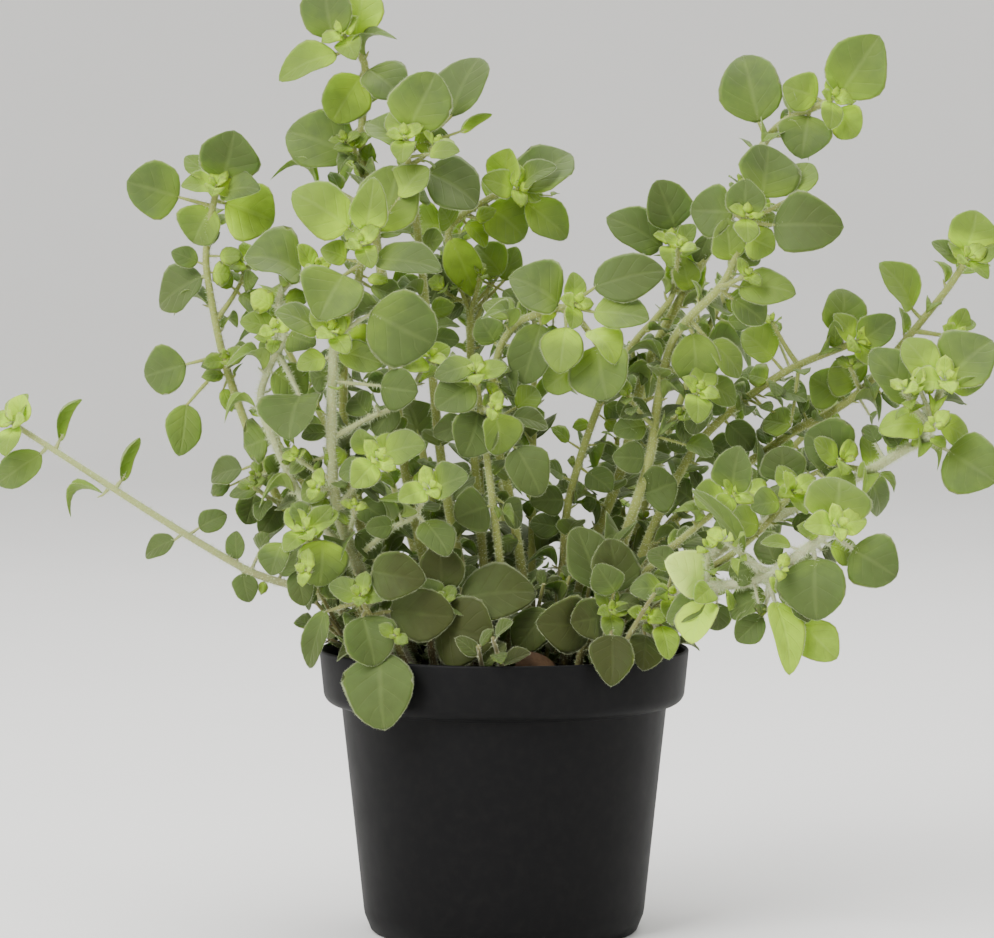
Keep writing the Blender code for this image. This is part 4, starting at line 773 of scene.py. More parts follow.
def line_length(line):
    return sum((b - a).length for a, b in zip(line, line[1:]))


def way_across(axis):
    """A way square to an axis."""
    return axis.cross(SKEW).normalized()


def spot_on(line, share):
    """A place at a share of a line's way, with the way along the line and one across it."""
    spot = share * (len(line) - 1)
    index = min(int(spot), len(line) - 2)
    axis = (line[index + 1] - line[index]).normalized()
    return line[index].lerp(line[index + 1], spot - index), axis, way_across(axis)


def nearest_on(line, place):
    """The point of a line nearest to a place, kept a little short of the line's end."""
    best = None
    for start, end in zip(line, line[1:]):
        span = end - start
        share = (place - start).dot(span) / span.length_squared
        share = min(max(share, 0.0), 1.0)
        if end is line[-1]:
            share = min(share, 1 - min(0.9, 0.9 * MM / span.length))
        point = start + span * share
        distance = (place - point).length
        if best is None or distance < best[0]:
            best = (distance, point)
    return best


@contextmanager
def shaping(mesh):
    """Gives a mesh in the form that the mesh operators edit, and puts the result back in it."""
    shape = bmesh.new()
    shape.from_mesh(mesh)
    yield shape
    shape.to_mesh(mesh)
    shape.free()


def settled(item):
    """The plain mesh that an object's modifiers make of it, which are then taken off."""
    evaluated = item.evaluated_get(bpy.context.evaluated_depsgraph_get())
    mesh = bpy.data.meshes.new_from_object(evaluated)
    item.modifiers.clear()
    return mesh


def new_curve(name):
    curve = bpy.data.curves.new(name, "CURVE")
    curve.dimensions = "3D"
    return curve


def add_way(curve, way):
    """Adds a line of straight parts to a curve, given as places with the thickness at each."""
    spline = curve.splines.new("POLY")
    spline.points.add(len(way) - 1)
    for point, (place, thick) in zip(spline.points, way):
        point.co = (*place, 1)
        point.radius = thick


def tapered(line):
    """A line's places, each with how thick a stem is there against its foot."""
    return [(place, 1 - (1 - TIP_TAPER) * i / (len(line) - 1)) for i, place in enumerate(line)]


def tube_mesh(name, line, radius):
    """A closed four-sided stem along a line, thinner towards its end."""
    curve = new_curve(name)
    curve.bevel_depth = radius * SQUARE_SPREAD
    curve.bevel_resolution = 0
    curve.use_fill_caps = True
    add_way(curve, tapered(line))
    holder = bpy.data.objects.new(name, curve)
    bpy.context.scene.collection.objects.link(holder)
    mesh = settled(holder)
    bpy.data.objects.remove(holder)
    bpy.data.curves.remove(curve)
    with shaping(mesh) as shape:
        bmesh.ops.remove_doubles(shape, verts=shape.verts, dist=1e-6)
        bmesh.ops.recalc_face_normals(shape, faces=shape.faces)
        bmesh.ops.triangulate(shape, faces=shape.faces)
    return mesh


def mesh_lists(mesh):
    """A mesh's points and faces as plain lists."""
    points = [v.co.copy() for v in mesh.vertices]
    return points, [tuple(p.vertices) for p in mesh.polygons]


def clear_route(stem, taken):
    """Moves a stem's route in depth until the stem stands clear of the stems placed before."""
    radius = stem["radius"] * MM
    best = None
    for shift in ROUTE_SHIFTS:
        places = [seen(x, z, spread(y, z) + shift * min(1, (i + 1) / 2))
                  for i, (x, z, y) in enumerate(stem["route"])]
        lines = [stem_line(stem["root"], thinned(places, ROUTE_TOLERANCE))]
        lines += [[seen(x, z, spread(y, z) + shift) for x, z, y in twig]
                  for twig in stem.get("twigs", ())]
        for twig in lines[1:]:
            twig[0] = nearest_on(lines[0], twig[0])[1] + TWIG_OFFSET
        gap = 1.0
        for line in lines:
            points = dense(line)
            for other, other_radius in taken:
                gap = min(gap, line_gap(points, other) - radius - other_radius)
        if best is None or gap > best[0]:
            best = (gap, lines)
        if gap > STEM_CLEARANCE:
            break
    return best[1]


def axis_points(lines):
    """Close points along a stem's lines, each with where it looks to be from the eye."""
    found = []
    for line in lines:
        for place in dense(line[1:], MM)[:-1]:
            place = Vector(place)
            found.append((flat_place(place), place))
    return found


def stalk_cost(flat, base, way):
    """How well a leaf stalk from a point of the stem would lead into its blade: low is good."""
    stalk = base - flat
    reach = stalk.length
    return reach * 1.6 - stalk.dot(way) if reach > SESSILE_REACH else reach


def front_leaf(points, entry, chance, shift, shrink):
    """A leaf given as it looks from the eye, set on the stem where its stalk leads to it best."""
    base_x, base_z, tip_x, tip_z, width = entry[:5]
    behind, lean, edge_on = (tuple(entry[5:]) + (0, None, None)[len(entry) - 5:])[:3]
    flat_base = Vector((base_x, 0, base_z)) * MM
    span = Vector((tip_x, 0, tip_z)) * MM - flat_base
    chosen_lean = chance.uniform(*LEAN_RANGE) * span.length / MM
    chosen_turn = chance.uniform(*TURN_RANGE)
    lean = chosen_lean if lean is None else lean
    turn = math.radians(chosen_turn if edge_on is None else edge_on)
    way = span.normalized()
    flat, root = min(points, key=lambda found: stalk_cost(found[0], flat_base, way))
    root = root + jitter(chance)
    reach = (flat_base - flat).length
    offset = (behind + shift) * MM
    most = reach + 0.5 * MM
    depth = (root.y + max(-most, min(most, 0.6 * offset))) / MM
    base = seen(base_x, base_z, depth)
    end = flat_base + span * shrink
    tip = seen(end.x / MM, end.z / MM, depth + lean + 0.8 * offset / MM)
    if reach < 1.5 * SESSILE_REACH:
        base = root + (tip - root).normalized() * SESSILE_REACH
    face = Matrix.Rotation(turn, 3, tip - base) @ Vector((0, -1, 0.45))
    wide = width * MM * shrink
    if edge_on is None:
        wide /= math.cos(turn)
    plain = span.length < SMALL_LEAF and reach < LONG_PETIOLE
    leaf = Leaf(root, base, tip, face, wide, plain)
    leaf.curled = turn > CURLED_FROM
    return leaf


def place_leaf(owner, obstacles, choices, must_hide=False):
    """Takes the first choice that crosses nothing of another stem, and best none of its own."""
    spare = None
    for leaf in choices:
        points, faces = leaf.solid(CLEARANCE)
        if obstacles.meets(owner, points, faces, same_stem=False):
            continue
        if must_hide and not low_down(leaf) and not hidden(leaf, obstacles):
            continue
        if not obstacles.meets(owner, points, faces, same_stem=True):
            spare = leaf
            break
        spare = spare or leaf
    if spare:
        points, faces = spare.solid()
        obstacles.add(owner, points, faces, blade=True)
    return spare


def hidden(leaf, obstacles):
    """Whether other leaves hide nearly all of a leaf from the eye."""
    return sum(obstacles.hides(leaf.point(*at)) for at in HIDE_POINTS) >= len(HIDE_POINTS) - 1


def low_down(leaf):
    """Whether a leaf shows in the dense growth over the soil, where it needs nothing before it."""
    flat = flat_place(leaf.point(0.5, 0))
    return flat.z < LOW_GROWTH and abs(flat.x) < LOW_GROWTH_REACH


def front_choices(points, entry, seed):
    """The same leaf leaning further back or forward, and then smaller."""
    for shrink in LEAF_SHRINKS:
        for shift in LEAF_SHIFTS:
            yield front_leaf(points, entry, random.Random(seed), shift, shrink)


def rule_leaf(line, share, angle, rise, length, width, stalk, offset):
    """A leaf that grows out of a line at a share of its way, at an angle round it."""
    root, axis, across = spot_on(line, share)
    root = root + offset
    out = Matrix.Rotation(angle, 3, axis) @ across
    way = (out + axis * rise).normalized()
    base = root + way * stalk
    tip = base + (way + Vector((0, 0, -0.12))).normalized() * length
    face = axis + Vector((0, 0, 0.9)) - out * 0.2
    return Leaf(root, base, tip, face, width, plain=True)


def rule_choices(line, share, angle, rise, length, stalk, offset):
    """The same leaf turned and bent a little, and then smaller."""
    for shrink in RULE_SHRINKS:
        for turn in RULE_TURNS:
            for bend in RULE_BENDS:
                yield rule_leaf(line, share, angle + turn, rise + bend, length * shrink,
                                length * shrink * 0.82, stalk, offset)


def back_line(root, tip):
    """A back stem's axis: it rises from the soil and leans out in a slow curve."""
    end = seen(*tip)
    start = Vector((root[0] * MM, root[1] * MM, soil_height(root[0] * MM, root[1] * MM)))
    places = []
    for share in BACK_SHARES:
        out = share ** 1.35
        places.append(Vector((start.x + (end.x - start.x) * out, start.y + (end.y - start.y) * out,
                              start.z + (end.z - start.z) * share)))
    return places


def grow_back_stem(name, line, seed, obstacles):
    """Pairs of leaves, each pair turned a quarter from the last, and a close tip."""
    chance = random.Random(seed)
    pairs = max(3, round(line_length(line) / NODE_SPACING))
    leaves = []
    first_turn = chance.uniform(0, math.pi)
    for pair in range(pairs + 1):
        share = 0.19 + 0.79 * pair / pairs
        size = BACK_LEAF * (0.75 + 0.35 * math.sin(math.pi * share)) * chance.uniform(0.88, 1.12)
        if pair == pairs:
            size *= 0.62
        for half in (0, 1):
            angle = first_turn + pair * math.pi / 2 + half * math.pi + chance.uniform(-0.2, 0.2)
            rise = 0.35 + 0.5 * share + chance.uniform(-0.15, 0.15)
            choices = rule_choices(line, share, angle, rise, size, RULE_STALK, jitter(chance))
            leaf = place_leaf(name, obstacles, choices, must_hide=True)
            if leaf:
                leaves.append(leaf)
    return leaves


def grow_fillers(name, line, seed, obstacles):
    """Leaves on the far side of a front stem, where others hide them from the eye."""
    chance = random.Random(seed)
    leaves = []
    count = int(line_length(line) / FILLER_SPACING)
    for index in range(count):
        share = 0.16 + 0.72 * index / max(1, count)
        angle = chance.choice((0.5, 0.5, -0.5)) * math.pi + chance.uniform(-0.5, 0.5)
        size = chance.uniform(11, 15) * MM
        choices = rule_choices(line, share, angle, 0.45, size, RULE_STALK, jitter(chance))
        leaf = place_leaf(name, obstacles, choices, must_hide=True)
        if leaf:
            leaves.append(leaf)
    return leaves


def thinned(line, tolerance):
    """A line without the points that lie close to the straight way between their neighbours."""
    if len(line) < 3:
        return line
    start, end = line[0], line[-1]
    span = end - start
    gaps = [(p - start - span * ((p - start).dot(span) / span.length_squared)).length
            for p in line[1:-1]]
    worst = max(gaps)
    if worst < tolerance:
        return [start, end]
    cut = gaps.index(worst) + 1
    return thinned(line[:cut + 1], tolerance)[:-1] + thinned(line[cut:], tolerance)


def place_stems(obstacles):
    """Every stem's lines and radius, each stem clear of those placed before it."""
    taken = []
    stems = {}
    for name, stem in STEMS.items():
        radius = stem["radius"] * MM
        stems[name] = (clear_route(stem, taken), radius)
        taken += [(dense(line), radius) for line in stems[name][0]]
    for name, (root, tip) in BACK_STEMS.items():
        stems[name] = ([stem_line(root, back_line(root, tip))], BACK_RADIUS)
    for name, (lines, radius) in stems.items():
        tubes = [tube_mesh(f"{name}_tube", lines[0], radius)]
        tubes += [tube_mesh(f"{name}_twig", line, TWIG_RADIUS) for line in lines[1:]]
        for mesh in tubes:
            obstacles.add(name, *mesh_lists(mesh))
    return stems


def place_leaves(stems, obstacles):
    """Every stem's leaves: those seen from the front first, then those that grow by rule."""
    leaves = {name: [] for name in stems}
    for name, stem in STEMS.items():
        points = axis_points(stems[name][0])
        for i, entry in enumerate(stem["leaves"]):
            if math.dist(entry[0:2], entry[2:4]) * MM < LEAST_LEAF:
                continue
            choices = front_choices(points, entry, f"{name} {i}")
            leaf = place_leaf(name, obstacles, choices)
            if leaf:
                leaves[name].append(leaf)
    for i, name in enumerate(BACK_STEMS):
        leaves[name] += grow_back_stem(name, stems[name][0][0], BACK_SEED + i, obstacles)
    for i, name in enumerate(STEMS):
        leaves[name] += grow_fillers(name, stems[name][0][0], FILLER_SEED + i, obstacles)
    return leaves


def linear(colour):
    """An sRGB hex colour as linear red, green and blue."""
    parts = [int(colour[i:i + 2], 16) / 255 for i in (1, 3, 5)]
    return tuple(c / 12.92 if c <= 0.04045 else ((c + 0.055) / 1.055) ** 2.4 for c in parts)


def setting(name, default, description, **options):
    return FloatProperty(name=name, default=default, description=description, **options)


length_setting = functools.partial(setting, unit="LENGTH")
power_setting = functools.partial(setting, unit="POWER")


def colour_setting(name, description, colour):
    return FloatVectorProperty(name=name, description=description, default=linear(colour), size=3,
                               min=0, max=1, subtype="COLOR")


class OreganoSizes(bpy.types.PropertyGroup):
    """Sizes of blades, stems, hairs and crumbs, and how close hairs and crumbs stand"""
    blade_thickness: length_setting("Blade thickness", 0.5 * MM,
                                    "Thickness of a leaf blade at its rib")
    stem_share: setting("Stem share", 1.13, "Radius of a stem without its hairs, against the solid's",
                        subtype="FACTOR")
    hair_length: length_setting("Hair length", 1.1 * MM, "Length of the hairs on the stems")
    hair_width: length_setting("Hair width", 0.15 * MM, "Width of a hair at its root")
    hairs: setting("Hairs on a square millimetre", 1.4,
                   "How many hairs stand on a square millimetre of stem")
    rim_hair_length: length_setting("Rim hair length", 0.5 * MM,
                                    "Length of the hairs along a leaf's rim")
    rim_hair_width: length_setting("Rim hair width", 0.1 * MM,
                                   "Width of a hair of a leaf's rim at its root")
    rim_hair_spacing: length_setting("Rim hair spacing", 0.42 * MM,
                                     "Distance between the hairs along a leaf's rim")
    crumb: length_setting("Crumb", 1.1 * MM, "Size of a loose crumb on the soil")
    crumbs: setting("Crumbs on a square centimetre", 15.0,
                    "How many loose crumbs lie on a square centimetre of soil")


class OreganoColours(bpy.types.PropertyGroup):
    """Colours of the plant, the soil, the pot and the floor"""
    # The darkest tone: old leaves, and painted shade low in the plant and behind the stems
    shade_leaf: colour_setting("Shade leaf", "Old leaves low in the plant", "#343A11")
    leaf: colour_setting("Leaf", "Grown leaves", "#50622E")
    fresh_leaf: colour_setting("Fresh leaf", "Leaves near a tip", "#748F2A")
    young_leaf: colour_setting("Young leaf", "The youngest leaves of a tip", "#AFD628")
    # Painted light: the pale colour that leaves are painted towards where the light strikes them
    sunlit: colour_setting("Sunlit leaf", "Leaves that the light strikes", "#DCFF78")
    vein: colour_setting("Vein", "Ribs and rims of the leaves", "#A9BF6E")
    underside: colour_setting("Underside", "The pale lower face of a leaf", "#708241")
    stem: colour_setting("Stem", "Skin of a green stem", "#98A152")
    stem_foot: colour_setting("Stem foot", "Woody skin near the soil", "#5C4F34")
    hair: colour_setting("Hair", "Hairs of stems and leaves", "#F0F3D8")
    soil: colour_setting("Soil", "Damp potting soil", "#2A1D14")
    crumb: colour_setting("Crumb", "Dry crumbs and fibres on the soil", "#5A4331")
    plastic: colour_setting("Plastic", "The pot's black plastic", "#0E0E0F")
    dust: colour_setting("Dust", "Fine dust on the pot", "#3A3833")
    dry_leaf: colour_setting("Dry leaf", "A fallen leaf on the soil", "#4E3A26")
    floor: colour_setting("Floor", "The studio's pale floor", "#F1F0ED")


class StudioSettings(bpy.types.PropertyGroup):
    """Powers of the studio's lights"""
    key: power_setting("Key light", 38.0, "Power of the large soft light over the left shoulder")
    fill: power_setting("Fill light", 5.0, "Power of the soft light from the right")
    top: power_setting("Top light", 14.0, "Power of the light from above and behind")
    ceiling: power_setting("Ceiling light", 165.0,
                           "Power of the wide light that fills the whole room")
    room: setting("Room light", 0.22, "Strength of the even light from all round")


class OreganoSettings(bpy.types.PropertyGroup):
    """All settings of the potted oregano"""
    sizes: PointerProperty(type=OreganoSizes)
    colours: PointerProperty(type=OreganoColours)
    studio: PointerProperty(type=StudioSettings)


def settings():
    return bpy.context.scene.oregano


def add_node(tree, kind, links=(), out=0, **options):
    """Adds a node, sets its options, fills its inputs in turn or by name, and gives an output."""
    node = tree.nodes.new(kind)
    for name, value in options.items():
        setattr(node, name, value)
    for key, value in links.items() if isinstance(links, dict) else enumerate(links):
        if isinstance(value, bpy.types.NodeSocket):
            tree.links.new(value, node.inputs[key])
        elif value is not None:
            node.inputs[key].default_value = value
    return node.outputs[out] if len(node.outputs) else node


def new_material(name, roughness, specular, **options):
    """A material, its tree's node maker and its shader, with the even values set on the shader."""
    material = bpy.data.materials.new(name)
    material.use_nodes = True
    tree = material.node_tree
    shader = tree.nodes["Principled BSDF"]
    shader.inputs["Roughness"].default_value = roughness
    shader.inputs["Specular IOR Level"].default_value = specular
    for option, value in options.items():
        shader.inputs[option.replace("_", " ").title()].default_value = value
    return material, functools.partial(add_node, tree), shader


def dress(node, shader, colour, height, depth, strength=1.0):
    """Gives a shader its colour, and bumps whose height of 0 to 1 spans a real depth."""
    tree = shader.id_data
    normal = node("ShaderNodeBump", {"Height": height, "Distance": depth, "Strength": strength})
    tree.links.new(normal, shader.inputs["Normal"])
    tree.links.new(colour, shader.inputs["Base Color"])


def dress_in_two(node, shader, share, ground, patch, height, depth, strength=1.0):
    """Gives a shader one colour with patches of a second, and bumps."""
    colour = node("ShaderNodeMix", {0: share, 6: (*ground, 1), 7: (*patch, 1)}, 2,
                  data_type="RGBA")
    dress(node, shader, colour, height, depth, strength)


def patches(node, size, detail=3.0, roughness=0.5):
    """Noise fixed to the object, in patches about as wide as a real size."""
    place = node("ShaderNodeTexCoord", out="Object")
    return node("ShaderNodeTexNoise", {"Vector": place, "Scale": 1 / size, "Detail": detail,
                                       "Roughness": roughness})


def leaf_material():
    """Living oregano leaf: soft and matte, with fine down that gives it a pale sheen. The colour runs
    from dark old leaves to yellow-green young ones, with painted light and shade in each leaf's tone,
    and rib, side veins and rim are paler."""
    colours = settings().colours
    material, node, shader = new_material(
        "Downy oregano leaf", 0.66, 0.22, sheen_weight=0.22, sheen_roughness=0.45,
        sheen_tint=(0.92, 1.0, 0.66, 1), subsurface_weight=0.2, subsurface_radius=(0.6, 1.0, 0.2),
        subsurface_scale=1.4 * MM)
    along, signed, side, given, fresh = (
        node("ShaderNodeAttribute", out="Fac", attribute_name=field)
        for field in ("along", "across", "side", "tone", "fresh"))
    across = node("ShaderNodeMath", (signed,), operation="ABSOLUTE")
    mottle = node("ShaderNodeMath", (patches(node, 4 * MM), 0.2, -0.1), operation="MULTIPLY_ADD")
    base = node("ShaderNodeMapRange", (along, 0.62, 0.0), interpolation_type="SMOOTHSTEP")
    base = node("ShaderNodeMath", (base, fresh), operation="MULTIPLY")
    tone = node("ShaderNodeMath", (given, mottle), operation="ADD")
    tone = node("ShaderNodeMath", (tone, base), operation="ADD", use_clamp=True)
    colour = node("ShaderNodeValToRGB", (tone,))
    elements = colour.node.color_ramp.elements
    elements.new(0.4)
    elements.new(0.7)
    for element, step in zip(elements, (colours.shade_leaf, colours.leaf, colours.fresh_leaf,
                                        colours.young_leaf)):
        element.color = (*step, 1)
    # Side veins leave the rib at a slant and fade towards the rim
    slant = node("ShaderNodeMath", (across, -0.34, along), operation="MULTIPLY_ADD")
    beat = node("ShaderNodeMath", (slant, 4.6), operation="MULTIPLY")
    beat = node("ShaderNodeMath", (beat, 0.5), operation="PINGPONG")
    vein = node("ShaderNodeMapRange", (beat, 0.08, 0.0), interpolation_type="SMOOTHSTEP")
    reach = node("ShaderNodeMapRange", (across, 1.0, 0.6, 0.0, 0.6))
    vein = node("ShaderNodeMath", (vein, reach), operation="MULTIPLY")
    rib = node("ShaderNodeMapRange", (across, 0.12, 0.02), interpolation_type="SMOOTHSTEP")
    veins = node("ShaderNodeMath", (rib, vein), operation="MAXIMUM")
    pale = node("ShaderNodeMapRange", (tone, 0.0, 0.6, 0.15, 1.0))
    veined = node("ShaderNodeMath", (veins, 0.1), operation="MULTIPLY")
    veined = node("ShaderNodeMath", (veined, pale), operation="MULTIPLY")
    rim = node("ShaderNodeMapRange", (across, 0.94, 1.0, 0.0, 0.4), interpolation_type="SMOOTHSTEP")
    rim = node("ShaderNodeMath", (rim, pale), operation="MULTIPLY")
    # A leaf whose tone passes 1 is painted lighter towards the sunlit colour: painted light where the
    # light strikes it
    bleached = node("ShaderNodeMapRange", (given, 1.0, 1.4, 0.0, 0.9))
    below = node("ShaderNodeMapRange", (side, 0.0, -0.6, 0.0, 0.5), interpolation_type="SMOOTHSTEP")
    for share, over in ((veined, colours.vein), (rim, colours.vein), (bleached, colours.sunlit),
                        (below, colours.underside)):
        colour = node("ShaderNodeMix", {0: share, 6: colour, 7: (*over, 1)}, 2, data_type="RGBA")
    # The blade puffs up between its veins, under a down of about 0.4 mm
    puff = node("ShaderNodeMath", (beat, math.pi), operation="MULTIPLY")
    puff = node("ShaderNodeMath", (puff,), operation="SINE")
    puff = node("ShaderNodeMath", (puff, 0.5), operation="MULTIPLY")
    down = node("ShaderNodeMath", (patches(node, 0.45 * MM, 2.0, 0.7), 0.35, puff),
                operation="MULTIPLY_ADD")
    height = node("ShaderNodeMath", (down, veins), operation="SUBTRACT")
    dress(node, shader, colour, height, 0.22 * MM, 0.6)
    return material


def stem_material():
    """Square herb stem: pale green and downy above, brown and woody where it leaves the soil."""
    colours = settings().colours
    material, node, shader = new_material(
        "Downy oregano stem", 0.7, 0.3, sheen_weight=0.3, subsurface_weight=0.12,
        subsurface_scale=1.2 * MM)
    place = node("ShaderNodeTexCoord", out="Object")
    height = node("ShaderNodeSeparateXYZ", (place,), out="Z")
    height = node("ShaderNodeMath", (patches(node, 14 * MM), 60 * MM, height),
                  operation="MULTIPLY_ADD")
    woody = node("ShaderNodeMapRange", (height, 164 * MM, 118 * MM, 0.0, 0.9))
    fleck = node("ShaderNodeMath", (patches(node, 2 * MM), 0.36), operation="MULTIPLY")
    # Painted light, with the white of dense down: a stem that catches more light is painted paler,
    # towards the hair colour
    pale = node("ShaderNodeAttribute", out="Fac", attribute_name="pale")
    colour = (*colours.stem, 1)
    for share, over in ((fleck, colours.leaf), (woody, colours.stem_foot), (pale, colours.hair)):
        colour = node("ShaderNodeMix", {0: share, 6: colour, 7: (*over, 1)}, 2, data_type="RGBA")
    dress(node, shader, colour, patches(node, 0.6 * MM), 0.15 * MM, 0.6)
    return material


def hair_material():
    """Plant hairs: colourless and fine, so they look nearly white against the green."""
    colours = settings().colours
    material, node, shader = new_material("Colourless plant hair", 0.55, 0.4)
    dress_in_two(node, shader, patches(node, 3 * MM), colours.hair, colours.vein,
                 patches(node, 1 * MM), 0.01 * MM)
    return material


def soil_material():
    """Peat potting soil: damp, dark and rough, with lighter dry specks."""
    colours = settings().colours
    material, node, shader = new_material("Peat potting soil", 0.92, 0.2)
    speck = node("ShaderNodeMapRange", (patches(node, 1.5 * MM, 5.0, 0.7), 0.55, 0.72))
    dress_in_two(node, shader, speck, colours.soil, colours.crumb,
                 patches(node, 1.2 * MM, 6.0, 0.75), 0.8 * MM)
    return material


def crumb_material():
    """Loose bark and peat crumbs: dry, so paler than the damp soil under them."""
    colours = settings().colours
    material, node, shader = new_material("Dry bark crumbs", 0.9, 0.2)
    patch = node("ShaderNodeMapRange", (patches(node, 6 * MM), 0.35, 0.65))
    dress_in_two(node, shader, patch, colours.soil, colours.crumb, patches(node, 0.8 * MM, 4.0),
                 0.3 * MM)
    return material


def dry_leaf_material():
    """A fallen, dried leaf: light brown and papery, with darker blotches."""
    colours = settings().colours
    material, node, shader = new_material("Papery dry leaf", 0.8, 0.25)
    blotch = node("ShaderNodeMapRange", (patches(node, 3 * MM, 4.0), 0.4, 0.7, 0.0, 0.7))
    dress_in_two(node, shader, blotch, colours.dry_leaf, colours.soil,
                 patches(node, 1 * MM, 3.0), 0.3 * MM)
    return material


def plastic_material():
    """Injection-moulded black polypropylene: a soft satin sheen over a very fine moulded grain."""
    colours = settings().colours
    material, node, shader = new_material("Moulded black polypropylene", 0.52, 0.1)
    haze = node("ShaderNodeMath", (patches(node, 9 * MM, 4.0, 0.6), 0.14, 0.45),
                operation="MULTIPLY_ADD")
    shader.id_data.links.new(haze, shader.inputs["Roughness"])
    dust = node("ShaderNodeMapRange", (patches(node, 3 * MM, 5.0, 0.6), 0.45, 0.9, 0.0, 0.1))
    dress_in_two(node, shader, dust, colours.plastic, colours.dust,
                 patches(node, 0.35 * MM, 2.0), 0.02 * MM, 0.5)
    return material


def floor_material():
    """A painted studio floor: pale, matte and even but for faint broad clouds."""
    colours = settings().colours
    material, node, shader = new_material("Matte studio paint", 0.85, 0.2)
    cloud = node("ShaderNodeMath", (patches(node, 300 * MM), 0.06), operation="MULTIPLY")
    dress_in_two(node, shader, cloud, colours.floor, colours.dust, patches(node, 5 * MM),
                 0.05 * MM, 0.2)
    return material


def half_width(along):
    """Half a fine blade's width at a share of its length."""
    places, widths = zip(*BLADE_HALF)
    return float(np.interp(along, places, widths))


def blade_object(name, rows, columns):
    """A flat blade of unit size, closed at its rim, with the fields that bend each leaf of it."""
    found = {}
    faces = []
    last = len(rows) - 1
    for side in (1, -1):
        grid = []
        for i, along in enumerate(rows):
            row = []
            for j, across in enumerate(columns):
                rim = i in (0, last) or j in (0, len(columns) - 1)
                key = (along, across if i < last else 0.0, 0 if rim else side)
                row.append(found.setdefault(key, len(found)))
            grid.append(row)
        for low, high in zip(grid, grid[1:]):
            for j in range(len(columns) - 1):
                face = [low[j], low[j + 1], high[j + 1], high[j]]
                face = [p for k, p in enumerate(face) if p != face[k - 1]]
                faces.append(face[::side])
    along, across, side = (np.array(values, float) for values in zip(*found))
    reach = across * np.array([half_width(a) for a in along])
    mesh = bpy.data.meshes.new(name)
    mesh.from_pydata([(r, a, 0) for r, a in zip(reach, along)], [], faces)
    mesh.shade_smooth()
    groove = 0.1 * np.exp(-(across / 0.16) ** 2) * np.sin(np.pi * along)
    fields = {
        "along": along,
        "across": across,
        "side": side,
        "reach": reach,
        "margin": (side == 0) & (len(rows) == len(FINE_ROWS)),
        "bow": 4 * along * (1 - along),
        "rise": np.sqrt(reach ** 2 + 0.012) - 0.11 - groove,
        "cupping": reach ** 2,
        "tail": along ** 4,
        "thick": side * np.sqrt(np.clip(1 - across ** 2, 0, 1)),
    }
    for field, values in fields.items():
        data = mesh.attributes.new(field, "FLOAT", "POINT").data
        data.foreach_set("value", np.asarray(values, np.float32))
    return bpy.data.objects.new(name, mesh)


def new_tree(name, sockets):
    """A geometry tree with named inputs: its node maker and its input sockets."""
    tree = bpy.data.node_groups.new(name, "GeometryNodeTree")
    tree.interface.new_socket("Geometry", in_out="INPUT", socket_type="NodeSocketGeometry")
    for socket, kind in sockets:
        tree.interface.new_socket(socket, in_out="INPUT", socket_type="NodeSocket" + kind)
    tree.interface.new_socket("Geometry", in_out="OUTPUT", socket_type="NodeSocketGeometry")
    node = functools.partial(add_node, tree)
    return tree, node, node("NodeGroupInput").node.outputs


def made(item, tree, values):
    """The plain mesh that a tree makes of an object, with the tree's inputs set by identifier."""
    modifier = item.modifiers.new(tree.name, "NODES")
    modifier.node_group = tree
    sockets = {s.name: s.identifier for s in tree.interface.items_tree if s.in_out == "INPUT"}
    for name, value in values.items():
        modifier[sockets[name]] = value
    return settled(item)


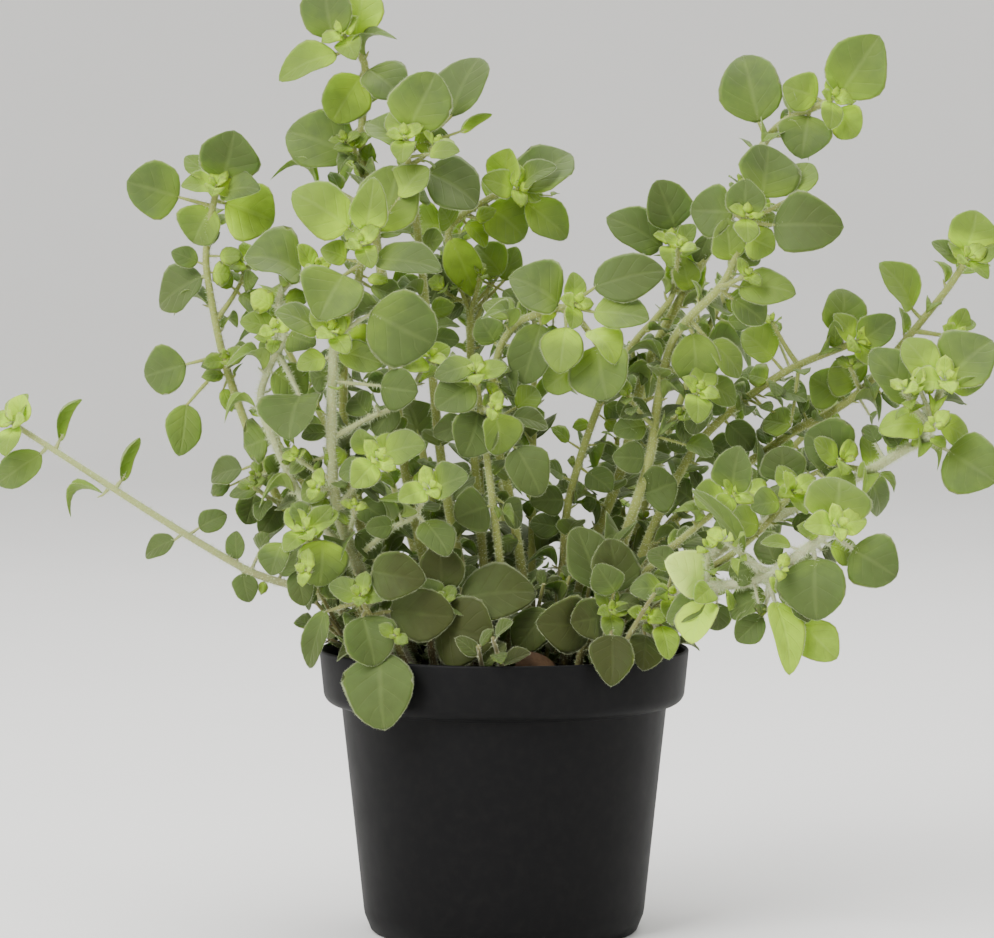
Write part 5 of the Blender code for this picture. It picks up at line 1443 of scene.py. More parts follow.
def leafy_tree():
    """Bends a flat blade at each leaf's point, and runs square skins along the stem's lines."""
    tree, node, given = new_tree("Leafy stem", (
        ("Blade", "Object"), ("Small blade", "Object"), ("Bud blade", "Object"), ("Lines", "Object"),
        ("Ripples", "Float"), ("Pale", "Float"), ("Leaf material", "Material"),
        ("Stem material", "Material")))
    read = {field: node("GeometryNodeInputNamedAttribute", (field,), data_type=kind)
            for kind, fields in (
                ("INT", ("kind",)), ("QUATERNION", ("turn",)),
                ("FLOAT_VECTOR", ("size", "form", "edge")),
                ("FLOAT", ("along", "across", "reach", "bow", "rise", "cupping", "tail", "thick")))
            for field in fields}
    blades = node("GeometryNodeJoinGeometry")
    for kind, blade in enumerate(("Blade", "Small blade", "Bud blade")):
        chosen = node("FunctionNodeCompare", {2: read["kind"], 3: kind}, data_type="INT",
                      operation="EQUAL")
        shape = node("GeometryNodeObjectInfo", {"Object": given[blade]}, "Geometry")
        flat = node("GeometryNodeInstanceOnPoints", {
            "Points": given["Geometry"], "Selection": chosen, "Instance": shape, "Scale": (0, 0, 0)})
        tree.links.new(flat, blades.node.inputs[0])
    whole = node("GeometryNodeRealizeInstances", (blades,))
    size = node("ShaderNodeSeparateXYZ", (read["size"],)).node.outputs
    # The rim's ripple runs along both sides, out of step from leaf to leaf
    sway = node("ShaderNodeMath", (read["along"], given["Ripples"], size[2]), operation="MULTIPLY_ADD")
    sway = node("ShaderNodeMath", (read["across"], 1.3, sway), operation="MULTIPLY_ADD")
    sway = node("ShaderNodeMath", (sway,), operation="SINE")
    sway = node("ShaderNodeMath", (sway, read["cupping"]), operation="MULTIPLY")
    bend = node("ShaderNodeCombineXYZ", (read["bow"], read["rise"], read["cupping"]))
    fringe = node("ShaderNodeCombineXYZ", (read["tail"], sway, read["thick"]))
    bend = node("ShaderNodeVectorMath", (bend, read["form"]), "Value", operation="DOT_PRODUCT")
    fringe = node("ShaderNodeVectorMath", (fringe, read["edge"]), "Value", operation="DOT_PRODUCT")
    # No two leaves have the same outline: each side swells and narrows a little on its way
    swell = node("ShaderNodeMath", (size[2], 3.7, read["across"]), operation="MULTIPLY_ADD")
    swell = node("ShaderNodeMath", (read["along"], 7.5, swell), operation="MULTIPLY_ADD")
    swell = node("ShaderNodeMath", (swell,), operation="SINE")
    swell = node("ShaderNodeMath", (swell, 0.07, 1.0), operation="MULTIPLY_ADD")
    swell = node("ShaderNodeMath", (swell, read["reach"]), operation="MULTIPLY")
    place = node("ShaderNodeCombineXYZ", (
        node("ShaderNodeMath", (swell, size[0]), operation="MULTIPLY"),
        node("ShaderNodeMath", (read["along"], size[1]), operation="MULTIPLY"),
        node("ShaderNodeMath", (bend, fringe), operation="ADD")))
    place = node("FunctionNodeRotateVector", (place, read["turn"]))
    leaves = node("GeometryNodeSetPosition", {"Geometry": whole, "Offset": place})
    leaves = node("GeometryNodeSetMaterial", {"Geometry": leaves, "Material": given["Leaf material"]})
    lines = node("GeometryNodeObjectInfo", {"Object": given["Lines"]}, "Geometry")
    radius = node("GeometryNodeInputRadius")
    thick = node("FunctionNodeCompare", (radius, STALK_RADIUS), data_type="FLOAT",
                 operation="GREATER_THAN")
    stems = node("GeometryNodeSeparateGeometry", {"Geometry": lines, "Selection": thick},
                 domain="CURVE")
    square = node("GeometryNodeCurvePrimitiveQuadrilateral", {"Width": 1.75, "Height": 1.75})
    rounded = node("GeometryNodeFilletCurve", {"Curve": square, "Count": 1, "Radius": 0.5},
                   mode="POLY")
    skin = node("GeometryNodeJoinGeometry")
    for ways, outline in ((stems, rounded), (stems.node.outputs["Inverted"], square)):
        part = node("GeometryNodeCurveToMesh", {"Curve": ways, "Profile Curve": outline,
                                                "Scale": radius, "Fill Caps": True})
        tree.links.new(part, skin.node.inputs[0])
    # The skin keeps the stem's share of painted light, which pales it in the stem material
    for field, value in (("skin", 1.0), ("pale", given["Pale"])):
        skin = node("GeometryNodeStoreNamedAttribute", {"Geometry": skin, "Name": field,
                                                        "Value": value},
                    data_type="FLOAT", domain="POINT")
    skin = node("GeometryNodeSetShadeSmooth", {"Geometry": skin, "Shade Smooth": True})
    skin = node("GeometryNodeSetMaterial", {"Geometry": skin, "Material": given["Stem material"]})
    joined = node("GeometryNodeJoinGeometry")
    for part in (leaves, skin):
        tree.links.new(part, joined.node.inputs[0])
    node("NodeGroupOutput", (joined,))
    return tree


def hair_tree():
    """Stands hairs on the skin of a stem, and along the rims of its leaves."""
    tree, node, given = new_tree("Plant hairs", (
        ("Hair", "Object"), ("Density", "Float"), ("Length", "Float"), ("Rim spacing", "Float"),
        ("Rim length", "Float"), ("Width", "Float"), ("Rim width", "Float"), ("Seed", "Int"),
        ("Material", "Material")))
    hair = node("GeometryNodeObjectInfo", {"Object": given["Hair"]}, "Geometry")
    kept = node("GeometryNodeStoreNamedAttribute", {
        "Geometry": given["Geometry"], "Name": "outward", "Value": node("GeometryNodeInputNormal")},
        data_type="FLOAT_VECTOR", domain="POINT")
    margin, skin = (
        node("FunctionNodeCompare", (
            node("GeometryNodeInputNamedAttribute", (field,), data_type="FLOAT"), 0.99),
            data_type="FLOAT", operation="GREATER_THAN")
        for field in ("margin", "skin"))
    rims = node("GeometryNodeMeshToCurve", {"Mesh": kept, "Selection": margin})
    rims = node("GeometryNodeResampleCurve", {"Curve": rims, "Length": given["Rim spacing"]},
                mode="LENGTH")
    spots = node("GeometryNodeDistributePointsOnFaces", {
        "Mesh": kept, "Selection": skin, "Density": given["Density"], "Seed": given["Seed"]})
    outward = node("GeometryNodeInputNamedAttribute", ("outward",), data_type="FLOAT_VECTOR")
    hairs = node("GeometryNodeJoinGeometry")
    for points, normal, length, width in (
            (rims, outward, "Rim length", given["Rim width"]),
            (spots, spots.node.outputs["Normal"], "Length", given["Width"])):
        stray = node("FunctionNodeRandomValue", {0: (-0.5,) * 3, 1: (0.5,) * 3, "Seed": given["Seed"]},
                     data_type="FLOAT_VECTOR")
        way = node("ShaderNodeVectorMath", (normal, stray), operation="ADD")
        turn = node("FunctionNodeAlignRotationToVector", {"Vector": way}, axis="Z")
        share = node("FunctionNodeRandomValue", {2: 0.5, 3: 1.15, "Seed": given["Seed"]}, 1,
                     data_type="FLOAT")
        share = node("ShaderNodeMath", (share, given[length]), operation="MULTIPLY")
        scale = node("ShaderNodeCombineXYZ", (width, width, share))
        stood = node("GeometryNodeInstanceOnPoints", {
            "Points": points, "Instance": hair, "Rotation": turn, "Scale": scale})
        tree.links.new(stood, hairs.node.inputs[0])
    whole = node("GeometryNodeRealizeInstances", (hairs,))
    whole = node("GeometryNodeSetMaterial", {"Geometry": whole, "Material": given["Material"]})
    node("NodeGroupOutput", (whole,))
    return tree


def crumb_tree():
    """Strews crumbs of every size over what faces up."""
    tree, node, given = new_tree("Strewn crumbs", (
        ("Crumb", "Object"), ("Density", "Float"), ("Size", "Float"), ("Seed", "Int"),
        ("Material", "Material")))
    crumb = node("GeometryNodeObjectInfo", {"Object": given["Crumb"]}, "Geometry")
    up = node("ShaderNodeSeparateXYZ", (node("GeometryNodeInputNormal"),), "Z")
    up = node("FunctionNodeCompare", (up, 0.4), data_type="FLOAT", operation="GREATER_THAN")
    spots = node("GeometryNodeDistributePointsOnFaces", {
        "Mesh": given["Geometry"], "Selection": up, "Density": given["Density"], "Seed": given["Seed"]})
    turn = node("FunctionNodeRandomValue", {0: (0.0,) * 3, 1: (math.tau,) * 3, "Seed": given["Seed"]},
                data_type="FLOAT_VECTOR")
    form = node("FunctionNodeRandomValue", {0: (0.3, 0.25, 0.25), 1: (1.5, 0.8, 0.6),
                                            "Seed": given["Seed"]}, data_type="FLOAT_VECTOR")
    scale = node("ShaderNodeVectorMath", {0: form, "Scale": given["Size"]}, operation="SCALE")
    crumbs = node("GeometryNodeInstanceOnPoints", {
        "Points": spots, "Instance": crumb, "Rotation": turn, "Scale": scale})
    whole = node("GeometryNodeRealizeInstances", (crumbs,))
    whole = node("GeometryNodeSetMaterial", {"Geometry": whole, "Material": given["Material"]})
    node("NodeGroupOutput", (whole,))
    return tree


def smoothed(line, step=STEM_STEP):
    """Even, close points on a smooth curve through a line's own points."""
    if len(line) < 3:
        return [line[0].lerp(line[-1], share) for share in (0, 0.5, 1)]
    ends = [line[0] * 2 - line[1]] + list(line) + [line[-1] * 2 - line[-2]]
    found = []
    for before, start, end, after in zip(ends, ends[1:], ends[2:], ends[3:]):
        pull = (end - start).length / 3
        first = start + (end - before).normalized() * pull
        second = end - (after - start).normalized() * pull
        count = max(2, round((end - start).length / step))
        found += interpolate_bezier(start, first, second, end, count + 1)[:-1]
    return found + [line[-1]]


def shoot_pair(line, share, angle, lean, length, stalk, chance):
    """Two leaves opposite each other on a line, at a share of its way and an angle round it."""
    root, axis, across = spot_on(line, share)
    for half in (0, math.pi):
        out = Matrix.Rotation(angle + half + chance.uniform(-0.2, 0.2), 3, axis) @ across
        way = (out * math.cos(lean) + axis * math.sin(lean)).normalized()
        long = length * chance.uniform(0.82, 1.15)
        base = root + way * stalk
        bent = (way + Vector((0, 0, -0.1 * long / (8 * MM)))).normalized()
        face = axis * 1.1 + Vector((0, -0.1, 0.6)) - out * 0.25
        wide = long * chance.uniform(0.62, 0.78)
        yield Leaf(root, base, base + bent * long, face, wide, plain=True)


def kept_open(spot):
    """Whether the plant lets light through at a place of the upright plane."""
    return any(close_to(spot, *place) for place in OPEN)


def nearness(place, tip):
    """1 at a stem's tip, and less further down."""
    return math.exp(-(place - tip).length / TIP_REACH)


class Growth:
    """The small leaves and side shoots of one stem, each kept only where it has room."""

    def __init__(self, owner, obstacles, chance):
        self.owner = owner
        self.obstacles = obstacles
        self.chance = chance
        self.leaves = []
        self.shoots = []

    def add_leaf(self, leaf, tone, fresh, own=True, drawn=False):
        """Keeps a leaf that crosses nothing of another stem and, if asked, none of its own. A leaf
        drawn after the photo may stand where the plant is else kept open."""
        points, faces = leaf.solid(TINY_CLEARANCE)
        if not drawn and kept_open(flat_place(leaf.point(0.5, 0))):
            return False
        if any(p[i] < LOWEST[i] or p[i] > HIGHEST[i] for p in points for i in range(3)):
            return False
        if self.obstacles.meets(self.owner, points, faces, same_stem=False):
            return False
        if own and self.obstacles.meets(self.owner, points, faces, same_stem=True):
            return False
        self.obstacles.add(self.owner, *leaf.solid(), blade=True)
        leaf.tone = tone
        leaf.fresh = fresh
        self.leaves.append(leaf)
        return True

    def add_rosette(self, tip, axis, size, light, pairs=2):
        """Pairs of young leaves that crowd round a growing tip, each pair a quarter turned."""
        chance = self.chance
        self.shoots.append([tip - axis * 0.5 * MM, tip + axis * 1.2 * MM,
                            tip + axis * 2.6 * size * MM])
        across = way_across(axis)
        turn = chance.uniform(0, math.pi)
        # Painted light and shade: the tip of a stem that catches more light is lighter, and that of a
        # shaded one darker and less fresh
        fresh = 0.55 * (1 + 2.5 * min(0.0, light))
        for step, (length, lean, up) in enumerate(ROSETTE[-pairs:], 3 - pairs):
            root = tip + axis * up * size * MM
            for half in (0, math.pi):
                out = Matrix.Rotation(turn + half + chance.uniform(-0.2, 0.2), 3, axis) @ across
                way = out * math.cos(lean) + axis * math.sin(lean)
                long = length * size * chance.uniform(0.85, 1.15) * MM
                base = root + way * 0.5 * MM
                leaf = Leaf(root, base, base + way * long, axis - out * 0.3, long * 0.74,
                            plain=True)
                tone = min(1.0, 0.62 + 0.13 * step + (0.6 if light > 0 else 1.4) * light)
                self.add_leaf(leaf, tone, fresh, own=False)
            turn += math.pi / 2

    def add_shoot(self, root, way, length, light):
        """A short side shoot: its line, one or two pairs of small leaves and a rosette."""
        chance = self.chance
        end = root + way * length + Vector((0, 0, 0.16 * length))
        steps = [root.lerp(end, share) for share in (0.35, 0.7, 1.0)]
        if kept_open(flat_place(end)) or any(
                self.obstacles.near(self.owner, place, SHOOT_CLEARANCE) for place in steps):
            return
        line = [root, root.lerp(end, 0.5) + Vector((0, 0, -0.05 * length)), end]
        self.shoots.append(line)
        turn = chance.uniform(0, math.pi)
        for step in range(1 + (length > LONG_SHOOT)):
            size = chance.uniform(5.5, 8.5) * MM
            for leaf in shoot_pair(line, 0.5 + 0.3 * step, turn + step * math.pi / 2, 0.45, size,
                                   1.3 * MM, chance):
                self.add_leaf(leaf, 0.5 + light, 0.3)
        axis = (way + Vector((0, -0.9, 0.7))).normalized()
        self.add_rosette(end, axis, chance.uniform(0.62, 0.95), light)


def tone_leaves(leaves, lines, chance, light):
    """Gives the grown leaves their tone: fresher near the tip, darker when large, darker low down with
    painted shade, and lighter or darker with painted light and shade where the stems and tables give
    it.
    """
    for leaf in leaves:
        middle = leaf.point(0.5, 0)
        near = max(nearness(leaf.root, line[-1]) for line in lines)
        small = max(0.0, 1 - leaf.length / (16 * MM))
        # Painted shade: a leaf is darker the lower it stands, less so on a stem that catches more light
        low = min(1.0, max(0.0, (SHADE_BELOW - middle.z) / SHADE_DEPTH))
        leaf.tone = 0.36 + 0.12 * near + 0.3 * small * near - (0.12 if light > 0 else 0.32) * low
        # Painted light and shade: the stem's light raises or lowers the leaf's tone
        leaf.tone += (0.3 if light > 0 else 1.0) * light + chance.uniform(-0.16, 0.07)
        leaf.tone += 0.25 * leaf.curled
        leaf.fresh = (0.05 + (0.22 + 0.4 * small) * near ** 2) * (1 + 2.5 * min(0.0, light))
        flat = flat_place(middle)
        # Painted light and shade: a leaf at a listed lighter place is painted lighter, and at a darker
        # place darker
        for places, step in TONE_STEPS:
            if any(close_to(flat, x, z, TONE_REACH) for x, z in places):
                leaf.tone += step
                leaf.fresh *= 1 + 2 * step
        # Painted light and shade: a leaf at a listed place takes that place's tone outright
        for x, z, tone in SUNLIT:
            if close_to(flat, x, z, SUNLIT_REACH):
                leaf.tone = tone


def grow_drawn_leaves(growth, lines, light):
    """The small leaves that the table of a front stem gives, which the solids leave out."""
    points = axis_points(lines)
    for i, entry in enumerate(STEMS[growth.owner]["leaves"]):
        if math.dist(entry[0:2], entry[2:4]) * MM >= LEAST_LEAF:
            continue
        for leaf in front_choices(points, entry, f"{growth.owner} {i}"):
            near = nearness(leaf.root, lines[0][-1])
            tone = 0.5 + 0.3 * near + light + growth.chance.uniform(-0.1, 0.1)
            if growth.add_leaf(leaf, tone, 0.1 + 0.4 * near, drawn=True):
                break


def grow_at_leaf(growth, leaf, near, light):
    """What grows where a leaf meets the stem: a side shoot, or a small leaf on either side."""
    chance = growth.chance
    axis = leaf.face.lerp(Vector((0, 0, 1)), 0.4).normalized()
    if chance.random() < 0.4 and near < 0.75 and growth.owner != BARE_STEM:
        out = Matrix.Rotation(chance.uniform(-0.7, 0.7), 3, axis) @ leaf.along
        way = (out * 0.7 + axis * 0.8).normalized()
        growth.add_shoot(leaf.root, way, chance.uniform(6, 17) * MM, light - 0.2 + 0.3 * near)
        return
    for way in (-1, 1):
        out = Matrix.Rotation(way * chance.uniform(0.4, 0.9), 3, axis) @ leaf.along
        out = (out + axis * chance.uniform(0.3, 1.0)).normalized()
        long = chance.uniform(3.6, 7.2) * MM
        base = leaf.root + out * 1.9 * MM
        tiny = Leaf(leaf.root, base, base + out * long, axis - out * 0.3, long * 0.7, plain=True)
        growth.add_leaf(tiny, 0.55 + 0.25 * near + light + chance.uniform(-0.08, 0.08), 0.3)


def grow_along(growth, line, light):
    """Pairs of small leaves up a line, each pair a quarter turned from the last."""
    chance = growth.chance
    span = line_length(line)
    place = PAIRS_FROM
    turn = chance.uniform(0, math.pi)
    while place < span - PAIRS_SHORT:
        share = place / span
        tone = 0.26 + 0.3 * share ** 2 + light + chance.uniform(-0.1, 0.1)
        for half in (0, 1):
            for step in range(4):
                length = chance.uniform(7, 12.5) * MM * (1 - 0.14 * step)
                pair = list(shoot_pair(line, share, turn + chance.uniform(-0.5, 0.5) * step,
                                       chance.uniform(0.2, 0.75), length, 2.2 * MM, chance))
                if growth.add_leaf(pair[half], tone, 0.1 + 0.2 * share):
                    break
        place += chance.uniform(5.5, 9) * MM
        turn += math.pi / 2


def grow_small_leaves(name, lines, leaves, obstacles):
    """The small leaves and side shoots of a stem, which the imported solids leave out."""
    chance = random.Random(name)
    growth = Growth(name, obstacles, chance)
    # The stem's light, painted into the tone of every small leaf it grows as painted light and shade
    light = LIGHT_STEMS.get(name, 0.0)
    if name in STEMS:
        grow_drawn_leaves(growth, lines, light)
    for line in lines:
        axis = (line[-1] - line[-2]).normalized()
        toward = Vector((0, -1.5, 0.3)) if name in STEMS else Vector(
            (chance.uniform(-0.5, 0.5), chance.uniform(-0.2, 0.8), 0.5))
        growth.add_rosette(line[-1], (axis + toward).normalized(), chance.uniform(0.9, 1.1), light,
                           pairs=3)
    for leaf in leaves:
        if leaf.length > AXIL_FROM:
            grow_at_leaf(growth, leaf, nearness(leaf.root, lines[0][-1]), light)
    if name != BARE_STEM:
        for line in lines:
            grow_along(growth, line, light)
    return growth


def filler(root, spot, step, chance):
    """A leaf from a point of a stem that covers a spot, smaller and at another depth each step."""
    length = chance.uniform(8, 12.5) * MM * (1 - 0.1 * step)
    depth = root.y / MM + chance.uniform(-2, 5) + FILL_DEPTHS[step]
    middle = seen(spot.x / MM, spot.z / MM, depth)
    way = (middle - root).normalized()
    way = (way + Vector((0, 0, chance.uniform(-0.2, 0.4)))).normalized()
    stalk = max(1.8 * MM, (middle - root).length - length / 2)
    base = root + (middle - root).normalized() * stalk
    turn = Matrix.Rotation(chance.uniform(-0.7, 0.7), 3, way)
    return Leaf(root, base, base + way * length, turn @ Vector((0, -1, 0.55)),
                length * chance.uniform(0.74, 0.88), plain=True)


def fill_bush(stems, obstacles, growths):
    """Sets leaves behind and between the stems where the bush would let the light through."""
    chance = random.Random(FILL_SEED)
    near_eye = [(name, flat, place) for name, (lines, _) in stems.items()
                for flat, place in axis_points(lines)[::3]]
    flats = np.array([tuple(flat) for _, flat, _ in near_eye])
    behind = np.array([0.0 if name in STEMS else 3 * MM for name, _, _ in near_eye])
    for across, up, radius in BUSHY:
        trees = [obstacles.whole()]
        reach = int(radius * MM / FILL_STEP)
        spots = [(i * FILL_STEP, j * FILL_STEP) for j in range(-reach, reach + 1)
                 for i in range(-reach, reach + 1) if math.hypot(i, j) <= reach]
        for x, z in spots:
            spot = Vector((across * MM + x + chance.uniform(-1, 1) * MM, 0,
                           up * MM + z + chance.uniform(-1, 1) * MM))
            ray = (spot - EYE).normalized()
            if kept_open(spot) or any(tree.ray_cast(EYE, ray)[0] is not None for tree in trees):
                continue
            gaps = np.hypot(flats[:, 0] - spot.x, flats[:, 2] - spot.z)
            gaps += behind
            if gaps.min() > FILL_REACH:
                continue
            name, _, root = near_eye[int(gaps.argmin())]
            # Painted shade: the filling leaves are dark, and darker the lower they stand
            tone = 0.2 + 0.3 * max(0.0, min(1.0, (spot.z - 110 * MM) / (120 * MM)))
            for step in range(len(FILL_DEPTHS)):
                leaf = filler(root, spot, step, chance)
                if growths[name].add_leaf(leaf, tone + chance.uniform(-0.08, 0.08), 0.12):
                    trees.append(BVHTree.FromPolygons(*leaf.solid()))
                    break


def grow_undergrowth(obstacles):
    """Short shoots that cover the soil between the stems, darkened with painted shade under the plant.
    """
    chance = random.Random(UNDERGROWTH_SEED)
    growth = Growth("undergrowth", obstacles, chance)
    for _ in range(UNDERGROWTH_SHOOTS):
        angle, reach = chance.uniform(0, math.tau), UNDERGROWTH_REACH * math.sqrt(chance.random())
        x, y = reach * math.cos(angle), reach * math.sin(angle)
        root = Vector((x, y, soil_height(x, y) - 2 * MM))
        out = Vector((x, y, 0)) * 0.35 + Vector((0, 0, chance.uniform(14, 36) * MM))
        out += Vector((chance.uniform(-6, 6), chance.uniform(-6, 6), 0)) * MM
        line = [root, root + out * 0.5 + Vector((0, 0, 1.5 * MM)), root + out]
        growth.shoots.append(line)
        turn = chance.uniform(0, math.pi)
        for step, share in enumerate((0.4, 0.68, 0.95)):
            length = chance.uniform(7, 12) * MM * (1 - 0.15 * step)
            # Painted shade: the shoots under the plant are nearly as dark as the shade colour, a little
            # lighter higher up
            tone = 0.03 + 0.1 * step + chance.uniform(-0.06, 0.06)
            for leaf in shoot_pair(line, share, turn + step * math.pi / 2, 0.35 + 0.2 * step,
                                   length, 1.2 * MM, chance):
                growth.add_leaf(leaf, tone, 0.1)
    return growth


def curve_object(name, lines, leaves, radius, share):
    """A curve of a stem's lines and its leaf stalks, with how thick each is along its way."""
    curve = new_curve(name)
    for i, line in enumerate(lines):
        thick = (radius if i == 0 else TWIG_RADIUS) * share * SQUARE_SPREAD
        add_way(curve, [(place, thick * taper) for place, taper in tapered(smoothed(line))])
    for leaf in leaves:
        thick = min(STALK_RADIUS, 0.2 * MM + 0.034 * leaf.length)
        under = [leaf.point(u, 0) - leaf.face * thick * (0.5 + 2 * u) for u in (0.03, 0.17)]
        places = [leaf.root, leaf.root.lerp(leaf.base, 0.6) - leaf.face * thick * 0.3] + under
        if leaf.length < 7 * MM:
            places = places[:1] + places[2:]
        sizes = np.interp(np.linspace(0, 1, len(places)), (0, 0.5, 1), (1.1, 0.85, 0.25))
        add_way(curve, [(place, thick * size) for place, size in zip(places, sizes)])
    return bpy.data.objects.new(name, curve)


def leaf_fields(leaf, thick, chance):
    """What bends and colours one leaf's blade. A leaf that stands edge-on to the eye arches more,
    so that its blade still shows."""
    long, half = leaf.length, leaf.width / 2 * BLADE_SWELL
    edge_on = max(0.0, 1 - abs(leaf.face.dot((EYE - leaf.base).normalized())) / 0.4)
    edge_on = max(edge_on * (long > 7 * MM), leaf.curled) * (1 if leaf.face.z > 0.3 else -1)
    hook = 0 if leaf.curled else 0.5 * edge_on
    turn = Matrix((leaf.side, leaf.along, leaf.face)).transposed().to_quaternion()
    size = (half, long, chance.uniform(0, math.tau))
    form = ((chance.uniform(0.03, 0.1) + (0.25 + 0.14 * leaf.curled) * edge_on) * long,
            (chance.uniform(0.12, 0.34) + 0.9 * abs(edge_on)) * half,
            chance.uniform(-0.16, 0.2) * half)
    edge = ((chance.uniform(-0.15, 0.03) - hook) * long, chance.uniform(0.03, 0.1) * half,
            thick * min(1.0, long / (12 * MM)))
    kind = (long < FINE_FROM) + (long < SMALL_FROM)
    return tuple(turn), size, form, edge, kind, leaf.tone, leaf.fresh


def leaf_points(name, leaves, chance):
    """A point for each leaf's base, with the fields that bend and colour its blade."""
    mesh = bpy.data.meshes.new(name)
    mesh.from_pydata([tuple(leaf.base) for leaf in leaves], [], [])
    thick = settings().sizes.blade_thickness / 2
    columns = zip(*(leaf_fields(leaf, thick, chance) for leaf in leaves))
    for (field, kind), values in zip(LEAF_FIELDS.items(), columns):
        data = mesh.attributes.new(field, kind, "POINT").data
        data.foreach_set("vector" if kind == "FLOAT_VECTOR" else "value", np.array(values).ravel())
    return show(name, mesh)


def show(name, mesh, material=None):
    """An object of a mesh in the scene, all in one material if that is given."""
    item = bpy.data.objects.new(name, mesh)
    if material:
        mesh.materials.clear()
        mesh.materials.append(material)
    bpy.context.scene.collection.objects.link(item)
    return item


def needle():
    """A hair of unit size: a three-sided needle along Z, open at its root, which the skin hides."""
    mesh = bpy.data.meshes.new("needle")
    root = [(math.cos(a) * 0.5, math.sin(a) * 0.5, 0) for a in (0.0, 2.0944, 4.1888)]
    mesh.from_pydata(root + [(0, 0, 1)], [], [(0, 1, 3), (1, 2, 3), (2, 0, 3)])
    return bpy.data.objects.new("needle", mesh)


def turned_mesh(name, profile, steps):
    """Turns a closed outline of (radius, height) points round Z, with one point at each pole."""
    mesh = bpy.data.meshes.new(name)
    with shaping(mesh) as shape:
        rings = []
        for radius, height in profile:
            turns = [math.tau * i / steps for i in range(steps)] if radius > 1e-6 else [0.0]
            rings.append([shape.verts.new((radius * math.cos(a), radius * math.sin(a), height))
                          for a in turns])
        for first, second in zip(rings, rings[1:]):
            for i in range(steps):
                j = (i + 1) % steps
                around = dict.fromkeys((first[i % len(first)], first[j % len(first)],
                                        second[j % len(second)], second[i % len(second)]))
                if len(around) > 2:
                    shape.faces.new(list(around))
        bmesh.ops.remove_doubles(shape, verts=shape.verts, dist=1e-6)
        bmesh.ops.recalc_face_normals(shape, faces=shape.faces)
    return mesh


def pot_outline():
    """The pot's wall, down its outer side, across its base and up its inner side, with its edges
    rounded as a mould leaves them."""
    rim_low = POT_RIM_RADIUS - POT_RIM_TAPER
    shoulder = POT_HEIGHT - POT_RIM_HEIGHT
    centre = (rim_low - POT_RIM_ROUNDING, shoulder + POT_RIM_ROUNDING)
    lip = POT_WALL / 2
    outer = [(POT_RIM_RADIUS - lip + lip * math.cos(a), POT_HEIGHT - lip + lip * math.sin(a))
             for a in np.linspace(math.pi / 2, 0, 5)]
    outer += [(centre[0] + POT_RIM_ROUNDING * math.cos(a), centre[1] - POT_RIM_ROUNDING * math.sin(a))
              for a in np.linspace(0, math.pi / 2, 9)]
    slope = (POT_SHOULDER_RADIUS - POT_FOOT_RADIUS) / (shoulder - POT_FOOT_HEIGHT)
    outer += [(POT_SHOULDER_RADIUS + 0.7 * MM, shoulder), (POT_SHOULDER_RADIUS, shoulder - 0.7 * MM)]
    outer += [(POT_FOOT_RADIUS + slope * (z * MM - POT_FOOT_HEIGHT), z * MM)
              for z in (60, 45, 30, 15, 7)]
    outer += [(POT_FOOT_RADIUS - 0.2 * MM, POT_FOOT_HEIGHT - 0.6 * MM),
              (POT_BASE_RADIUS + 0.5 * MM, 0.7 * MM), (POT_BASE_RADIUS - 0.3 * MM, 0),
              (POT_BASE_RADIUS - 2.2 * MM, 0), (POT_BASE_RADIUS - 2.6 * MM, 0.5 * MM), (0, 0.5 * MM)]
    step = shoulder + POT_WALL
    inner = [(0, POT_FLOOR), (POT_FOOT_RADIUS - POT_WALL - 1.0 * MM, POT_FLOOR),
             (POT_SHOULDER_RADIUS - POT_WALL, step), (centre[0], step), (rim_low - POT_WALL, centre[1]),
             (POT_RIM_RADIUS - POT_WALL, POT_HEIGHT - lip)]
    return outer + inner + [outer[0]]


def ring(count, radius, start=0.0, shift=0.0):
    """Places evenly round the pot's axis, each with its angle."""
    for i in range(count):
        angle = start + math.tau * (i + shift) / count
        yield angle, (radius * math.cos(angle), radius * math.sin(angle), 0)


def cutter(name, make, place, turn=0.0, **options):
    """A solid to cut with, made by a mesh operator and set in its place."""
    mesh = bpy.data.meshes.new(name)
    with shaping(mesh) as shape:
        make(shape, **options)
    item = bpy.data.objects.new(name, mesh)
    item.location = place
    item.rotation_euler.z = turn
    return item


def cut(item, solids):
    """Cuts solids out of an object, and keeps the result as its mesh."""
    collection = bpy.data.collections.new("cutters")
    bpy.context.scene.collection.children.link(collection)
    for solid in solids:
        collection.objects.link(solid)
    modifier = item.modifiers.new("Cut", "BOOLEAN")
    modifier.operand_type = "COLLECTION"
    modifier.collection = collection
    modifier.solver = "EXACT"
    bpy.context.view_layer.update()
    item.data = settled(item)
    for solid in solids:
        bpy.data.objects.remove(solid)
    bpy.data.collections.remove(collection)


class OREGANO_OT_pot(bpy.types.Operator):
    """Turns the nursery pot, with its drain holes and the notches in its foot"""
    bl_idname = "oregano.pot"
    bl_label = "Pot"

    def execute(self, context):
        pot = show("nursery_pot", turned_mesh("nursery_pot", pot_outline(), POT_STEPS))
        drains = [cutter("drain", bmesh.ops.create_cone, place, cap_ends=True, segments=DRAIN_STEPS,
                         radius1=DRAIN_RADIUS, radius2=DRAIN_RADIUS, depth=5 * POT_FLOOR)
                  for _, place in ring(DRAIN_HOLES, DRAIN_RING, shift=0.5)]
        notches = [cutter("notch", bmesh.ops.create_cube, place, angle + math.pi / 2, size=1,
                          matrix=Matrix.Diagonal((*NOTCH_SIZE, 1)))
                   for angle, place in ring(FOOT_NOTCHES, POT_BASE_RADIUS, start=-math.pi / 2)]
        cut(pot, drains + notches)
        pot.data.materials.clear()
        pot.data.materials.append(plastic_material())
        pot.data.shade_smooth()
        pot.data.set_sharp_from_angle(angle=POT_EDGE_ANGLE)
        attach(pot, "root")
        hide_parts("pot")
        return {"FINISHED"}


